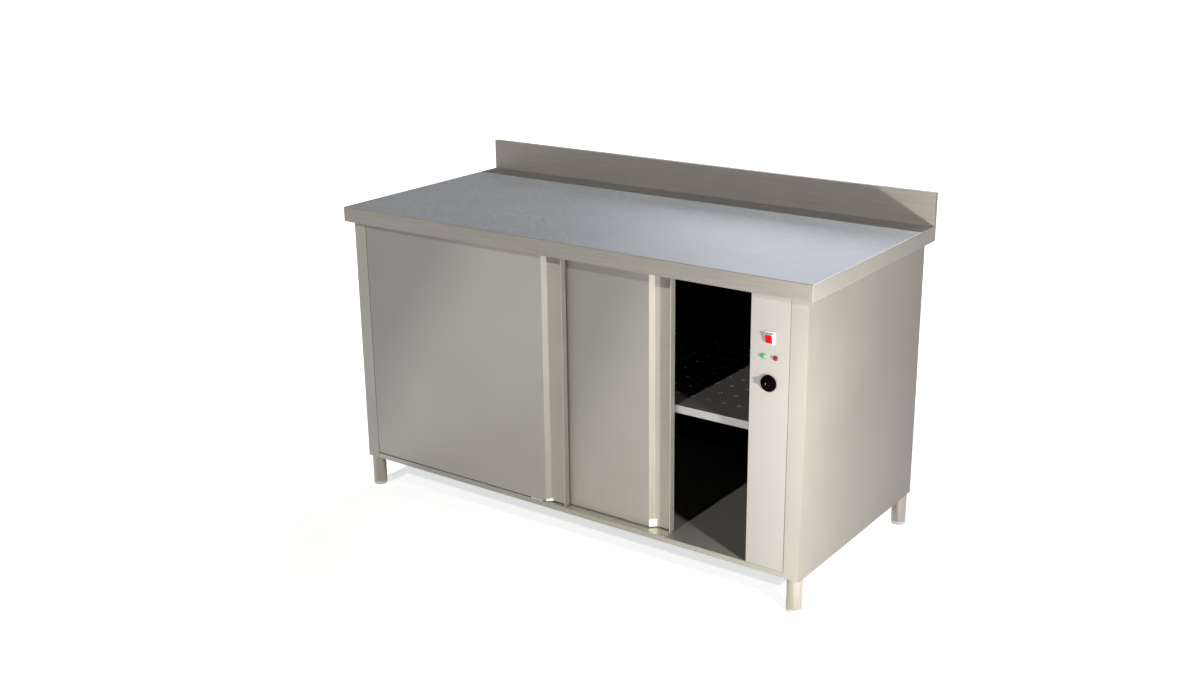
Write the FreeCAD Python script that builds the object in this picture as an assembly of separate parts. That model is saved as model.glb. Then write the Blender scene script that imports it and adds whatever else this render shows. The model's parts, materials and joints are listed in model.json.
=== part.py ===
import FreeCAD, Part
import math
import os

# Plate warmer cabinet with a worktop, two sliding doors and a perforated shelf.
# Millimetres, +Z up. The front faces -Y and +X is to the right of someone who faces it.
# The origin lies on the floor, under the middle of the cabinet's box.

# Overall sizes
overall_width = 1500.0
overall_depth = 700.0
overall_height = 950.0
upstand_height = 90.0
worktop_edge = 43.0
worktop_overhang = 20.0
upstand_thickness = 15.0
carcass_bottom = 93.0
front_rail_height = 15.0

# Sheets, boards and common clearances
worktop_sheet = 1.5
casing_sheet = 1.2
liner_sheet = 1.0
board_thickness = 18.0
edge_lip = 14.0
edge_radius = 2.5
assembly_gap = 0.3
seam_gap = 0.2
cut_overrun = 5.0

# Casing: stiles, jambs and returns
left_stile_width = 43.5
right_stile_width = 45.3
jamb_depth = 68.0
rear_return = 25.0
top_return = 25.0
right_stile_return = 15.0
tray_flange = 12.0
tray_flange_sheet = 1.2

# Control panel
panel_width = 106.7
panel_return = 15.0
panel_top_gap = 4.5
panel_screw_margin = 60.0
screw_drop_under_shelf = 66.7
screw_rise_over_shelf = 117.7
panel_screw_setback = 10.0
screw_head_radius = 3.75
screw_head_height = 2.0
screw_shank_radius = 1.8
screw_shank_length = 8.0
screw_hole_clearance = 0.3

# Heated chamber
chamber_back_setback = 40.0
liner_overlap = 20.0
chamber_top_gap = 25.5

# Shelf and its bracket strips
shelf_height = 461.0
shelf_edge = 21.0
shelf_sheet = 1.2
shelf_setback = 52.0
shelf_side_gap = 0.6
shelf_back_gap = 4.0
shelf_hole_radius = 4.0
shelf_hole_pitch_x = 46.1
shelf_hole_pitch_y = 60.6
shelf_hole_columns = 26
shelf_hole_rows = 8
shelf_hole_front_margin = 79.0
shelf_lip = 12.0
bracket_leg = 20.0
bracket_sheet = 1.5
bracket_end_gap = 24.0

# Doors
door_thickness = 19.0
door_sheet = 1.0
door_overlap = 134.0
door_end_gap = 0.5
door_floor_gap = 3.0
door_top_gap = 28.5
track_pitch = 25.0
right_door_opened = 323.8
channel_width = 65.7
channel_depth = 14.5
channel_slant = 7.5
channel_lip = 3.1
core_gap = 0.3
glide_run = 15.7
left_glide_height = 7.0
right_glide_height = 20.5
groove_width = 6.4
groove_height = 9.0
groove_end_gap = 3.0

# Door track, hangers and rollers
track_sheet = 2.0
track_flange = 7.7
track_web = 1.5
track_end_gap = 0.2
roller_radius = 8.0
roller_width = 5.0
roller_side_gap = 0.6
roller_rail_gap = 0.3
track_flange_drop = 20.5
axle_radius = 2.5
axle_running_gap = 0.05
axle_head_radius = 3.6
axle_head_length = 0.8
axle_head_gap = 0.2
hanger_plate = 2.0
hanger_width = 30.0
hanger_foot_depth = 14.0
hanger_inset = 60.0
hanger_rise = 6.0
stop_length = 12.0
stop_gap = 0.3

# Floor guide for the doors
guide_base = 1.8
guide_length = 40.0
guide_fin_length = 30.0
guide_fin_width = 5.0
guide_fin_height = 7.5
guide_side_margin = 1.0

# Rocker switch
rocker_width = 19.0
rocker_height = 22.0
rocker_reach = 11.0
rocker_pivot_depth = 3.0
rocker_tilt = 10.0
rocker_drum_radius = 8.0
rocker_side_gap = 0.4
rocker_swing_gap = 1.5
rocker_pin_radius = 1.5
rocker_pin_gap = 0.06
rocker_pin_length = 1.2
lens_thickness = 1.2
lens_margin = 0.4
switch_drop = 128.4
switch_wall = 1.6
switch_bezel_width = 3.2
switch_bezel_thickness = 1.8
switch_depth = 25.0
switch_back_wall = 3.0
switch_hole_gap = 0.2

# Pilot lamps
lamp_drop = 48.1
lamp_spacing = 33.0
lamp_flange_radius = 6.4
lamp_flange_thickness = 1.5
lamp_lens_radius = 5.4
lamp_lens_length = 3.0
lamp_lens_chamfer = 1.5
lamp_body_radius = 4.5
lamp_body_length = 22.0
lamp_hole_gap = 0.15

# Thermostat, shaft and knob
thermostat_drop = 113.6
thermostat_size = 40.0
thermostat_depth = 32.0
thermostat_bush_radius = 5.5
thermostat_bush_gap = 0.2
shaft_radius = 3.0
shaft_running_gap = 0.05
shaft_inner_length = 24.0
knob_radius = 21.0
knob_skirt = 5.0
knob_edge = 1.2
knob_grip_radius = 9.5
knob_grip_length = 12.0
knob_panel_gap = 0.6
knob_socket_depth = 12.0
knob_socket_gap = 0.02

# Capillary tube and its bulb
capillary_radius = 1.2
capillary_bend = 12.0
capillary_run_back = 60.0
capillary_rise = 46.0
capillary_run_side = 85.0
capillary_hole_gap = 0.3
bulb_radius = 3.2
bulb_length = 80.0
bulb_wall_gap = 0.3
bulb_lead = 30.0

# Heater box with fan and tubular element
heater_box_depth = 100.0
heater_box_width = 240.0
heater_box_height = 250.0
heater_box_bottom = 150.0
heater_box_front = 290.0
heater_sheet = 1.0
heater_flange = 12.0
fan_radius = 60.0
fan_hub_radius = 12.0
fan_disc_thickness = 2.0
fan_blade_height = 28.0
fan_blade_thickness = 1.5
fan_blade_count = 12
fan_blade_root = 34.0
fan_wall_gap = 18.0
fan_shaft_radius = 3.0
fan_shaft_gap = 0.05
fan_hole_gap = 1.5
motor_radius = 34.0
motor_length = 36.0
motor_flange_size = 80.0
motor_flange_thickness = 3.0
motor_bore_end = 6.0
element_ring_radius = 84.0
element_tube_radius = 4.0
element_wall_gap = 38.0
element_open_angle = 30.0
element_tail = 14.0
element_hole_gap = 0.3
air_slot_length = 90.0
air_slot_height = 6.0
air_slot_pitch = 14.0
air_slot_count = 6
air_slot_margin = 16.0

# Insulation slabs
slab_gap = 0.3
right_slab_thickness = 25.0
right_slab_front = 70.0
slab_cutout_gap = 2.0

# Electrical inlet and wiring
gland_offset = 60.0
gland_height = 160.0
gland_thread_radius = 10.0
gland_hole_gap = 0.2
gland_flange_radius = 14.0
gland_flange_thickness = 5.0
gland_dome_radius = 11.0
gland_dome_length = 11.0
gland_bore_radius = 5.0
gland_inner_length = 9.0
gland_nut_radius = 13.5
gland_nut_thickness = 5.0
gland_nut_gap = 0.1
terminal_width = 60.0
terminal_depth = 22.0
terminal_height = 20.0
terminal_back_gap = 75.0
terminal_hole_radius = 2.4
terminal_hole_depth = 8.0
terminal_hole_count = 5
terminal_row_shares = (0.25, 0.75)
loom_radius = 4.0
loom_bend = 30.0
loom_small_bend = 14.0
loom_run_front = 60.0

# Vent slots in the back panel, behind the controls
vent_slot_length = 70.0
vent_slot_height = 5.0
vent_slot_pitch = 16.0
vent_slot_count = 8
vent_top_margin = 60.0

# Legs and adjustable feet
leg_radius = 20.0
leg_wall = 1.5
leg_inset_x = 22.0
leg_inset_y = 20.0
foot_height = 10.0
foot_rounding = 6.0
foot_flat_radius = 14.0
foot_stem_radius = 5.0
foot_stem_gap = 0.05
foot_stem_length = 50.0
leg_bush_length = 30.0
leg_plug_length = 23.0
leg_stud_radius = 6.0
leg_stud_gap = 0.1
leg_stud_clearance = 2.0
corner_plate_size = 56.0
corner_plate_thickness = 4.0

# Places worked out from the sizes above
half_width = overall_width / 2
half_depth = overall_depth / 2
carcass_x = half_width - worktop_overhang
carcass_y = half_depth - worktop_overhang
worktop_height = overall_height - upstand_height
worktop_bottom = worktop_height - worktop_edge
board_top = worktop_height - worktop_sheet
carcass_top = board_top - board_thickness
floor_level = carcass_bottom + front_rail_height
front_y = -carcass_y
skin_back_y = front_y + casing_sheet
jamb_end_y = front_y + jamb_depth
left_jamb_x = -carcass_x + left_stile_width
panel_right_x = carcass_x - right_stile_width
panel_left_x = panel_right_x - panel_width
panel_middle_x = (panel_left_x + panel_right_x) / 2
left_wall_x = left_jamb_x - casing_sheet
right_wall_x = panel_left_x + casing_sheet
liner_front_y = jamb_end_y - liner_overlap
chamber_back_y = carcass_y - chamber_back_setback
chamber_top = carcass_top - chamber_top_gap
casing_back_y = carcass_y - casing_sheet
panel_top = carcass_top - panel_top_gap
switch_pivot_height = panel_top - switch_drop
lamp_height = switch_pivot_height - lamp_drop
thermostat_height = switch_pivot_height - thermostat_drop
door_bottom = floor_level + door_floor_gap
door_top = carcass_top - door_top_gap
opening_width = panel_left_x - left_jamb_x
door_width = (opening_width - 2 * door_end_gap + door_overlap) / 2
door_travel = opening_width - 2 * door_end_gap - door_width
left_door_x = left_jamb_x + door_end_gap
right_door_x = left_door_x + right_door_opened
left_door_y = front_y
right_door_y = front_y + track_pitch
channel_start = door_width - channel_width
flange_top = carcass_top - track_flange_drop
roller_z = flange_top + roller_rail_gap + roller_radius


def vector(x, y, z):
    return FreeCAD.Vector(x, y, z)


def box(x_low, x_high, y_low, y_high, z_low, z_high):
    size = (x_high - x_low, y_high - y_low, z_high - z_low)
    return Part.makeBox(size[0], size[1], size[2], vector(x_low, y_low, z_low))


def rod(radius, start, direction, length):
    return Part.makeCylinder(radius, length, vector(*start), vector(*direction))


def prism(points, z_low, z_high):
    corners = [vector(x, y, z_low) for x, y in points]
    face = Part.Face(Part.makePolygon(corners + corners[:1]))
    return face.extrude(vector(0, 0, z_high - z_low))


def joined(shapes):
    whole = shapes[0]
    if len(shapes) > 1:
        whole = whole.fuse(shapes[1:])
    return whole.removeSplitter()


def turned(outline, point, axis):
    corners = [vector(*corner) for corner in outline]
    face = Part.Face(Part.makePolygon(corners + corners[:1]))
    return face.revolve(vector(*point), vector(*axis), 360)


def bent_tube(points, radii, tube_radius):
    # Straight runs joined by tangent arcs, swept as one round tube.
    corners = [vector(*point) for point in points]
    edges = []
    last = corners[0]
    for index, bend in enumerate(radii):
        corner = corners[index + 1]
        before = (corner - corners[index]).normalize()
        after = (corners[index + 2] - corner).normalize()
        half_turn = before.getAngle(after) / 2
        reach = bend * math.tan(half_turn)
        start = corner - before * reach
        end = corner + after * reach
        inward = (after - before).normalize()
        middle = corner + inward * (bend / math.cos(half_turn) - bend)
        edges.append(Part.LineSegment(last, start).toShape())
        edges.append(Part.Arc(start, middle, end).toShape())
        last = end
    edges.append(Part.LineSegment(last, corners[-1]).toShape())
    ring = Part.Wire(Part.makeCircle(tube_radius, corners[0], corners[1] - corners[0]))
    return Part.Wire(edges).makePipeShell([ring], True, False)


save_list = []


def add(name, shape):
    save_list.append((name, shape))


def save(name, shape):
    shape.exportStep("parts/" + name + ".step")
    print(name, len(shape.Solids), "solid", round(shape.Volume), "mm3", "valid", shape.isValid())


# Worktop

def make_worktop_skin():
    slab = box(-half_width, half_width, -half_depth, half_depth, worktop_bottom, worktop_height)
    upstand_front = half_depth - upstand_thickness
    upstand = box(-half_width, half_width, upstand_front, half_depth, worktop_bottom, overall_height)
    outer = joined([slab, upstand])
    rounded = []
    for edge in outer.Edges:
        middle = edge.BoundBox.Center
        at_front = abs(middle.y + half_depth) < edge_radius
        at_side = abs(abs(middle.x) - half_width) < edge_radius
        at_top = abs(middle.z - worktop_height) < edge_radius
        on_upstand_top = abs(middle.z - overall_height) < edge_radius
        upright_front = at_front and edge.BoundBox.ZLength > worktop_edge - edge_radius
        if (at_front or at_side) and at_top or on_upstand_top or upright_front:
            rounded.append(edge)
    outer = outer.makeFillet(edge_radius, rounded)
    inner_x = half_width - worktop_sheet
    inner_y = half_depth - worktop_sheet
    hollow = box(-inner_x, inner_x, -inner_y, inner_y, worktop_bottom + worktop_sheet, board_top)
    mouth = box(-half_width + edge_lip, half_width - edge_lip, -half_depth + edge_lip,
                half_depth - edge_lip, worktop_bottom - cut_overrun, board_top)
    fold = box(-inner_x, inner_x, upstand_front + worktop_sheet, inner_y,
               worktop_bottom + worktop_sheet, overall_height - worktop_sheet)
    return outer.cut([hollow, mouth, fold])


def make_worktop_core():
    inner_x = half_width - worktop_sheet - assembly_gap
    front = -half_depth + worktop_sheet + assembly_gap
    back = half_depth - upstand_thickness - assembly_gap
    return box(-inner_x, inner_x, front, back, carcass_top, board_top)


add("worktop_skin", make_worktop_skin())
add("worktop_core", make_worktop_core())


# Casing

def make_side_skin(side, stile_width, stile_return, return_bottom):
    # One sheet folded at the front stile, its return, the rear edge and the top.
    sheets = [
        (carcass_x - casing_sheet, carcass_x, -carcass_y, carcass_y, carcass_bottom, carcass_top),
        (carcass_x - stile_width, carcass_x, front_y, skin_back_y, carcass_bottom, carcass_top),
        (carcass_x - stile_width, carcass_x - stile_width + casing_sheet, front_y,
         front_y + stile_return, return_bottom, carcass_top),
        (carcass_x - rear_return, carcass_x, casing_back_y, carcass_y, carcass_bottom, carcass_top),
        (carcass_x - top_return, carcass_x, skin_back_y, casing_back_y,
         carcass_top - casing_sheet, carcass_top),
    ]
    shapes = []
    for x_near, x_far, y_low, y_high, z_low, z_high in sheets:
        x_low, x_high = sorted((side * x_near, side * x_far))
        shapes.append(box(x_low, x_high, y_low, y_high, z_low, z_high))
    return joined(shapes)


def make_back_skin():
    wide = carcass_x - casing_sheet - assembly_gap
    panel = box(-wide, wide, casing_back_y - casing_sheet, casing_back_y,
                carcass_bottom + casing_sheet + assembly_gap, carcass_top - casing_sheet - assembly_gap)
    gland_hole = rod(gland_thread_radius + gland_hole_gap,
                     (carcass_x - gland_offset, casing_back_y - cut_overrun, gland_height),
                     (0, 1, 0), 2 * cut_overrun)
    cuts = [gland_hole]
    for index in range(vent_slot_count):
        top = carcass_top - vent_top_margin - index * vent_slot_pitch
        cuts.append(box(panel_middle_x - vent_slot_length / 2, panel_middle_x + vent_slot_length / 2,
                        casing_back_y - cut_overrun, casing_back_y + cut_overrun,
                        top - vent_slot_height, top))
    return panel.cut(cuts)


def leg_places():
    x = carcass_x - leg_inset_x
    y = carcass_y - leg_inset_y
    return {"front_left": (-x, -y), "front_right": (x, -y), "back_left": (-x, y), "back_right": (x, y)}


def make_base_tray():
    wide = carcass_x - casing_sheet - assembly_gap
    front = skin_back_y + assembly_gap
    back = casing_back_y - casing_sheet - assembly_gap
    rim_top = carcass_bottom + casing_sheet + tray_flange
    outer = box(-wide, wide, front, back, carcass_bottom, rim_top)
    hollow = box(-wide + tray_flange_sheet, wide - tray_flange_sheet, front + tray_flange_sheet,
                 back - tray_flange_sheet, carcass_bottom + casing_sheet, rim_top + cut_overrun)
    holes = [rod(leg_stud_radius + leg_stud_gap, (x, y, carcass_bottom - cut_overrun), (0, 0, 1),
                 2 * cut_overrun) for x, y in leg_places().values()]
    return outer.cut([hollow] + holes)


def make_chamber_floor():
    # The floor sheet folds down at the front and shows there as the bottom rail.
    wide = carcass_x - casing_sheet - assembly_gap
    sheet = box(-wide, wide, skin_back_y + assembly_gap, casing_back_y - casing_sheet - assembly_gap,
                floor_level - casing_sheet, floor_level)
    rail_left = left_jamb_x + seam_gap
    rail_right = panel_right_x - seam_gap
    rail = box(rail_left, rail_right, front_y, skin_back_y, carcass_bottom, floor_level)
    bend = box(rail_left, rail_right, front_y, skin_back_y + 2 * assembly_gap,
               floor_level - casing_sheet, floor_level)
    return joined([sheet, rail, bend])


add("side_skin_left", make_side_skin(-1, left_stile_width, jamb_depth, floor_level))
add("side_skin_right", make_side_skin(1, right_stile_width, right_stile_return, floor_level))
add("back_skin", make_back_skin())
add("base_tray", make_base_tray())
add("chamber_floor", make_chamber_floor())


# Heated chamber liners

heater_y_low = front_y + heater_box_front
heater_y_high = heater_y_low + heater_box_width
heater_z_low = heater_box_bottom
heater_z_high = heater_z_low + heater_box_height
heater_x_low = right_wall_x + liner_sheet
heater_x_high = heater_x_low + heater_box_depth
fan_y = (heater_y_low + heater_y_high) / 2
fan_z = (heater_z_low + heater_z_high) / 2


def screw_heights():
    # Two screws below the shelf and two above it, all clear of its edge.
    return [floor_level + panel_screw_margin, shelf_height - shelf_edge - screw_drop_under_shelf,
            shelf_height + screw_rise_over_shelf, panel_top - panel_screw_margin]


screw_y = jamb_end_y - panel_screw_setback
capillary_y = front_y + casing_sheet + thermostat_depth + capillary_run_back + capillary_run_side
capillary_z = thermostat_height + capillary_rise


def make_chamber_wall_left():
    return box(left_wall_x - liner_sheet, left_wall_x, liner_front_y, chamber_back_y + liner_sheet,
               floor_level, chamber_top)


def make_chamber_wall_right():
    wall = box(right_wall_x, right_wall_x + liner_sheet, liner_front_y, chamber_back_y + liner_sheet,
               floor_level, chamber_top)
    cuts = []
    slot_stack = (air_slot_count - 1) * air_slot_pitch + air_slot_height
    for index in range(air_slot_count):
        for base in (heater_z_low + air_slot_margin, heater_z_high - air_slot_margin - slot_stack):
            low = base + index * air_slot_pitch
            cuts.append(box(right_wall_x - cut_overrun, right_wall_x + cut_overrun,
                            fan_y - air_slot_length / 2, fan_y + air_slot_length / 2,
                            low, low + air_slot_height))
    for height in screw_heights():
        cuts.append(rod(screw_shank_radius + seam_gap, (right_wall_x - cut_overrun, screw_y, height),
                        (1, 0, 0), 2 * cut_overrun))
    cuts.append(rod(capillary_radius + capillary_hole_gap,
                    (right_wall_x - cut_overrun, capillary_y, capillary_z), (1, 0, 0), 2 * cut_overrun))
    return wall.cut(cuts)


def make_chamber_back():
    return box(left_wall_x, right_wall_x, chamber_back_y, chamber_back_y + liner_sheet,
               floor_level, chamber_top)


def make_chamber_ceiling():
    wide = box(left_wall_x - liner_sheet, right_wall_x + liner_sheet, jamb_end_y + assembly_gap,
               chamber_back_y + liner_sheet, chamber_top, chamber_top + liner_sheet)
    narrow = box(left_jamb_x + assembly_gap, panel_left_x - assembly_gap, liner_front_y,
                 jamb_end_y + cut_overrun, chamber_top, chamber_top + liner_sheet)
    upright = box(left_jamb_x + assembly_gap, panel_left_x - assembly_gap, liner_front_y,
                  liner_front_y + liner_sheet, chamber_top, carcass_top)
    return joined([wide, narrow, upright])


add("chamber_wall_left", make_chamber_wall_left())
add("chamber_wall_right", make_chamber_wall_right())
add("chamber_back", make_chamber_back())
add("chamber_ceiling", make_chamber_ceiling())


# Insulation slabs

slab_bottom = floor_level + slab_gap
slab_top = carcass_top - casing_sheet - slab_gap
slab_back_y = casing_back_y - casing_sheet - slab_gap


def make_insulation_right():
    front = front_y + right_slab_front
    low_x = right_wall_x + liner_sheet + slab_gap
    slab = box(low_x, low_x + right_slab_thickness, front, chamber_back_y, slab_bottom,
               chamber_top - slab_gap)
    rim = heater_flange + slab_cutout_gap
    window = box(low_x - cut_overrun, low_x + right_slab_thickness + cut_overrun,
                 heater_y_low - rim, heater_y_high + rim, heater_z_low - rim, heater_z_high + rim)
    tunnel = rod(capillary_radius + capillary_hole_gap, (low_x - cut_overrun, capillary_y, capillary_z),
                 (1, 0, 0), right_slab_thickness + 2 * cut_overrun)
    return slab.cut([window, tunnel])


add("insulation_left", box(-carcass_x + casing_sheet + slab_gap, left_wall_x - liner_sheet - slab_gap,
                           skin_back_y + slab_gap, slab_back_y, slab_bottom, slab_top))
add("insulation_right", make_insulation_right())
add("insulation_back", box(left_wall_x - liner_sheet, right_wall_x, chamber_back_y + liner_sheet + slab_gap,
                           slab_back_y, slab_bottom, slab_top))


# Perforated shelf and its brackets

def make_shelf():
    left = left_jamb_x + shelf_side_gap
    right = panel_left_x - shelf_side_gap
    front = front_y + shelf_setback
    back = chamber_back_y - shelf_back_gap
    low = shelf_height - shelf_edge
    outer = box(left, right, front, back, low, shelf_height)
    hollow = box(left + shelf_sheet, right - shelf_sheet, front + shelf_sheet, back - shelf_sheet,
                 low + shelf_sheet, shelf_height - shelf_sheet)
    mouth = box(left + shelf_lip, right - shelf_lip, front + shelf_lip, back - shelf_lip,
                low - cut_overrun, shelf_height - shelf_sheet)
    pan = outer.cut([hollow, mouth])
    first_x = (left + right - (shelf_hole_columns - 1) * shelf_hole_pitch_x) / 2
    first_y = front + shelf_hole_front_margin
    holes = []
    for column in range(shelf_hole_columns):
        for row in range(shelf_hole_rows):
            centre = (first_x + column * shelf_hole_pitch_x, first_y + row * shelf_hole_pitch_y,
                      shelf_height - shelf_sheet - cut_overrun)
            holes.append(rod(shelf_hole_radius, centre, (0, 0, 1), shelf_sheet + 2 * cut_overrun))
    return pan.cut(holes)


def make_shelf_brackets():
    top = shelf_height - shelf_edge
    front = jamb_end_y + assembly_gap
    back = chamber_back_y - bracket_end_gap
    strips = []
    for wall_x, side in ((left_wall_x, 1), (right_wall_x, -1)):
        ledge_x = sorted((wall_x, wall_x + side * bracket_leg))
        upright_x = sorted((wall_x, wall_x + side * bracket_sheet))
        ledge = box(ledge_x[0], ledge_x[1], front, back, top - bracket_sheet, top)
        upright = box(upright_x[0], upright_x[1], front, back, top - bracket_leg, top)
        strips.append(joined([ledge, upright]))
    return Part.makeCompound(strips)


add("shelf", make_shelf())
add("shelf_brackets", make_shelf_brackets())


# Doors

def door_outline():
    return [(0, 0), (channel_start, 0), (channel_start + channel_slant, channel_depth),
            (door_width - channel_lip, channel_depth), (door_width - channel_lip, 0),
            (door_width, 0), (door_width, door_thickness), (0, door_thickness)]


def door_hollow_outline():
    slant_length = math.hypot(channel_slant, channel_depth)
    shift = door_sheet * slant_length / channel_depth
    slope = channel_slant / channel_depth
    front = door_sheet
    floor = channel_depth + door_sheet
    return [(door_sheet, front), (channel_start + slope * front - shift, front),
            (channel_start + slope * floor - shift, floor),
            (door_width - channel_lip + door_sheet, floor), (door_width - channel_lip + door_sheet, front),
            (door_width - door_sheet, front), (door_width - door_sheet, door_thickness + cut_overrun),
            (door_sheet, door_thickness + cut_overrun)]


def door_core_outline():
    inset = door_sheet + core_gap
    slope = channel_slant / channel_depth
    floor = channel_depth + inset
    back = door_thickness - inset
    slant_end = channel_start - inset + slope * (floor - inset)
    return [(inset, inset), (channel_start - inset, inset), (slant_end, floor),
            (door_width - inset, floor), (door_width - inset, back), (inset, back)]


def door_groove():
    front = (door_thickness - groove_width) / 2
    return box(-cut_overrun, channel_start - groove_end_gap, front, front + groove_width,
               door_bottom - cut_overrun, door_bottom + groove_height)


def make_door_skin():
    hollow = prism(door_hollow_outline(), door_bottom + door_sheet, door_top - door_sheet)
    return prism(door_outline(), door_bottom, door_top).cut([hollow, door_groove()])


def make_door_liner():
    edge = door_sheet + assembly_gap
    return box(edge, door_width - edge, door_thickness - door_sheet, door_thickness,
               door_bottom + edge, door_top - edge)


def make_door_core():
    edge = door_sheet + core_gap
    return prism(door_core_outline(), door_bottom + edge, door_top - edge).cut(door_groove())


def make_door_glide(height):
    corner = [(channel_start, 0), (channel_start + channel_slant, channel_depth),
              (channel_start + glide_run, channel_depth)]
    return prism(corner, door_bottom, door_bottom + height)


def hanger_centres():
    return [hanger_inset, door_width - hanger_inset]


def make_hangers():
    # Each hanger is a foot on the door's top edge, an upright plate and a headed roller axle.
    middle = door_thickness / 2
    plate_back = middle + hanger_plate / 2
    head_start = plate_back + roller_side_gap + roller_width + axle_head_gap
    hangers = []
    for centre in hanger_centres():
        low_x = centre - hanger_width / 2
        high_x = centre + hanger_width / 2
        foot = box(low_x, high_x, middle - hanger_foot_depth / 2, middle + hanger_foot_depth / 2,
                   door_top, door_top + hanger_plate)
        plate = box(low_x, high_x, middle - hanger_plate / 2, plate_back,
                    door_top, roller_z + hanger_rise)
        axle = rod(axle_radius, (centre, middle, roller_z), (0, 1, 0), head_start - middle)
        head = rod(axle_head_radius, (centre, head_start, roller_z), (0, 1, 0), axle_head_length)
        hangers.append(joined([foot, plate, axle, head]))
    return Part.makeCompound(hangers)


def make_roller(centre):
    start = (centre, door_thickness / 2 + hanger_plate / 2 + roller_side_gap, roller_z)
    tyre = rod(roller_radius, start, (0, 1, 0), roller_width)
    bore_start = (start[0], start[1] - cut_overrun, start[2])
    bore = rod(axle_radius + axle_running_gap, bore_start, (0, 1, 0), roller_width + 2 * cut_overrun)
    return tyre.cut(bore)


for door, place_x, place_y, glide_height in (
        ("left_door", left_door_x, left_door_y, left_glide_height),
        ("right_door", right_door_x, right_door_y, right_glide_height)):
    place = vector(place_x, place_y, 0)
    add(door + "_skin", make_door_skin().translated(place))
    add(door + "_liner", make_door_liner().translated(place))
    add(door + "_core", make_door_core().translated(place))
    add(door + "_glide", make_door_glide(glide_height).translated(place))
    add(door + "_hangers", make_hangers().translated(place))
    for number, centre in enumerate(hanger_centres(), start=1):
        add(door + "_roller_" + str(number), make_roller(centre).translated(place))


# Track, end stops and floor guide

def rail_lines():
    # The plane, front to back, of each door's roller.
    start = door_thickness / 2 + hanger_plate / 2 + roller_side_gap
    return [left_door_y + start, right_door_y + start]


def make_door_track():
    left = left_jamb_x + track_end_gap
    right = panel_left_x - track_end_gap
    lines = rail_lines()
    web_offset = seam_gap + track_flange
    cover = box(left, right, left_door_y + seam_gap, lines[1] + web_offset + track_web,
                carcass_top - track_sheet, carcass_top)
    sheets = [cover]
    for line in lines:
        web_front = line + web_offset
        sheets.append(box(left, right, line + seam_gap, web_front + track_web,
                          flange_top - track_sheet, flange_top))
        sheets.append(box(left, right, web_front, web_front + track_web,
                          flange_top - track_sheet, carcass_top))
    return joined(sheets)


def make_door_stops():
    reach = hanger_inset - roller_radius - stop_gap
    left_face = left_door_x + reach
    right_face = left_door_x + door_travel + door_width - reach
    blocks = []
    for line in rail_lines():
        for low_x in (left_face - stop_length, right_face):
            blocks.append(box(low_x, low_x + stop_length, line + seam_gap, line + seam_gap + track_flange,
                              flange_top, flange_top + stop_length))
    return Part.makeCompound(blocks)


def make_door_guide():
    # The middle of the stretch that both doors' flat faces cover wherever they stand.
    low = left_door_x + door_travel
    high = left_door_x + channel_start
    middle = (low + high) / 2
    back = right_door_y + door_thickness - guide_side_margin
    base = box(middle - guide_length / 2, middle + guide_length / 2, front_y + guide_side_margin, back,
               floor_level, floor_level + guide_base)
    pieces = [base]
    for door_y in (left_door_y, right_door_y):
        centre = door_y + door_thickness / 2
        pieces.append(box(middle - guide_fin_length / 2, middle + guide_fin_length / 2,
                          centre - guide_fin_width / 2, centre + guide_fin_width / 2,
                          floor_level, floor_level + guide_base + guide_fin_height))
    return joined(pieces)


add("door_track", make_door_track())
add("door_stops", make_door_stops())
add("door_guide", make_door_guide())


# Control panel and its screws

lamp_places = [panel_middle_x - lamp_spacing / 2, panel_middle_x + lamp_spacing / 2]
pivot_y = front_y + rocker_pivot_depth
pocket_half_width = rocker_width / 2 + rocker_side_gap
pocket_half_height = rocker_height / 2 + rocker_swing_gap
housing_half_width = pocket_half_width + switch_wall
housing_half_height = pocket_half_height + switch_wall


def make_control_panel():
    bottom = floor_level + assembly_gap
    right = panel_right_x - seam_gap
    face = box(panel_left_x, right, front_y, skin_back_y, bottom, panel_top)
    left_return = box(panel_left_x, right_wall_x, front_y, jamb_end_y, bottom, panel_top)
    right_return = box(right - casing_sheet, right, front_y, front_y + panel_return, bottom, panel_top)
    shell = joined([face, left_return, right_return])
    drill_y = front_y - cut_overrun
    cuts = [box(panel_middle_x - housing_half_width - switch_hole_gap,
                panel_middle_x + housing_half_width + switch_hole_gap,
                front_y - cut_overrun, skin_back_y + cut_overrun,
                switch_pivot_height - housing_half_height - switch_hole_gap,
                switch_pivot_height + housing_half_height + switch_hole_gap)]
    for lamp_x in lamp_places:
        cuts.append(rod(lamp_body_radius + lamp_hole_gap, (lamp_x, drill_y, lamp_height),
                        (0, 1, 0), 2 * cut_overrun))
    cuts.append(rod(thermostat_bush_radius + thermostat_bush_gap,
                    (panel_middle_x, drill_y, thermostat_height), (0, 1, 0), 2 * cut_overrun))
    for height in screw_heights():
        cuts.append(rod(screw_shank_radius + screw_hole_clearance,
                        (panel_left_x - cut_overrun, screw_y, height), (1, 0, 0), 2 * cut_overrun))
    return shell.cut(cuts)


def make_panel_screws():
    screws = []
    for height in screw_heights():
        head = rod(screw_head_radius, (panel_left_x - screw_head_height, screw_y, height),
                   (1, 0, 0), screw_head_height)
        shank = rod(screw_shank_radius, (panel_left_x - screw_head_height, screw_y, height),
                    (1, 0, 0), screw_head_height + screw_shank_length)
        screws.append(joined([head, shank]))
    return Part.makeCompound(screws)


add("control_panel", make_control_panel())
add("control_panel_screws", make_panel_screws())


# Rocker switch

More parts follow.
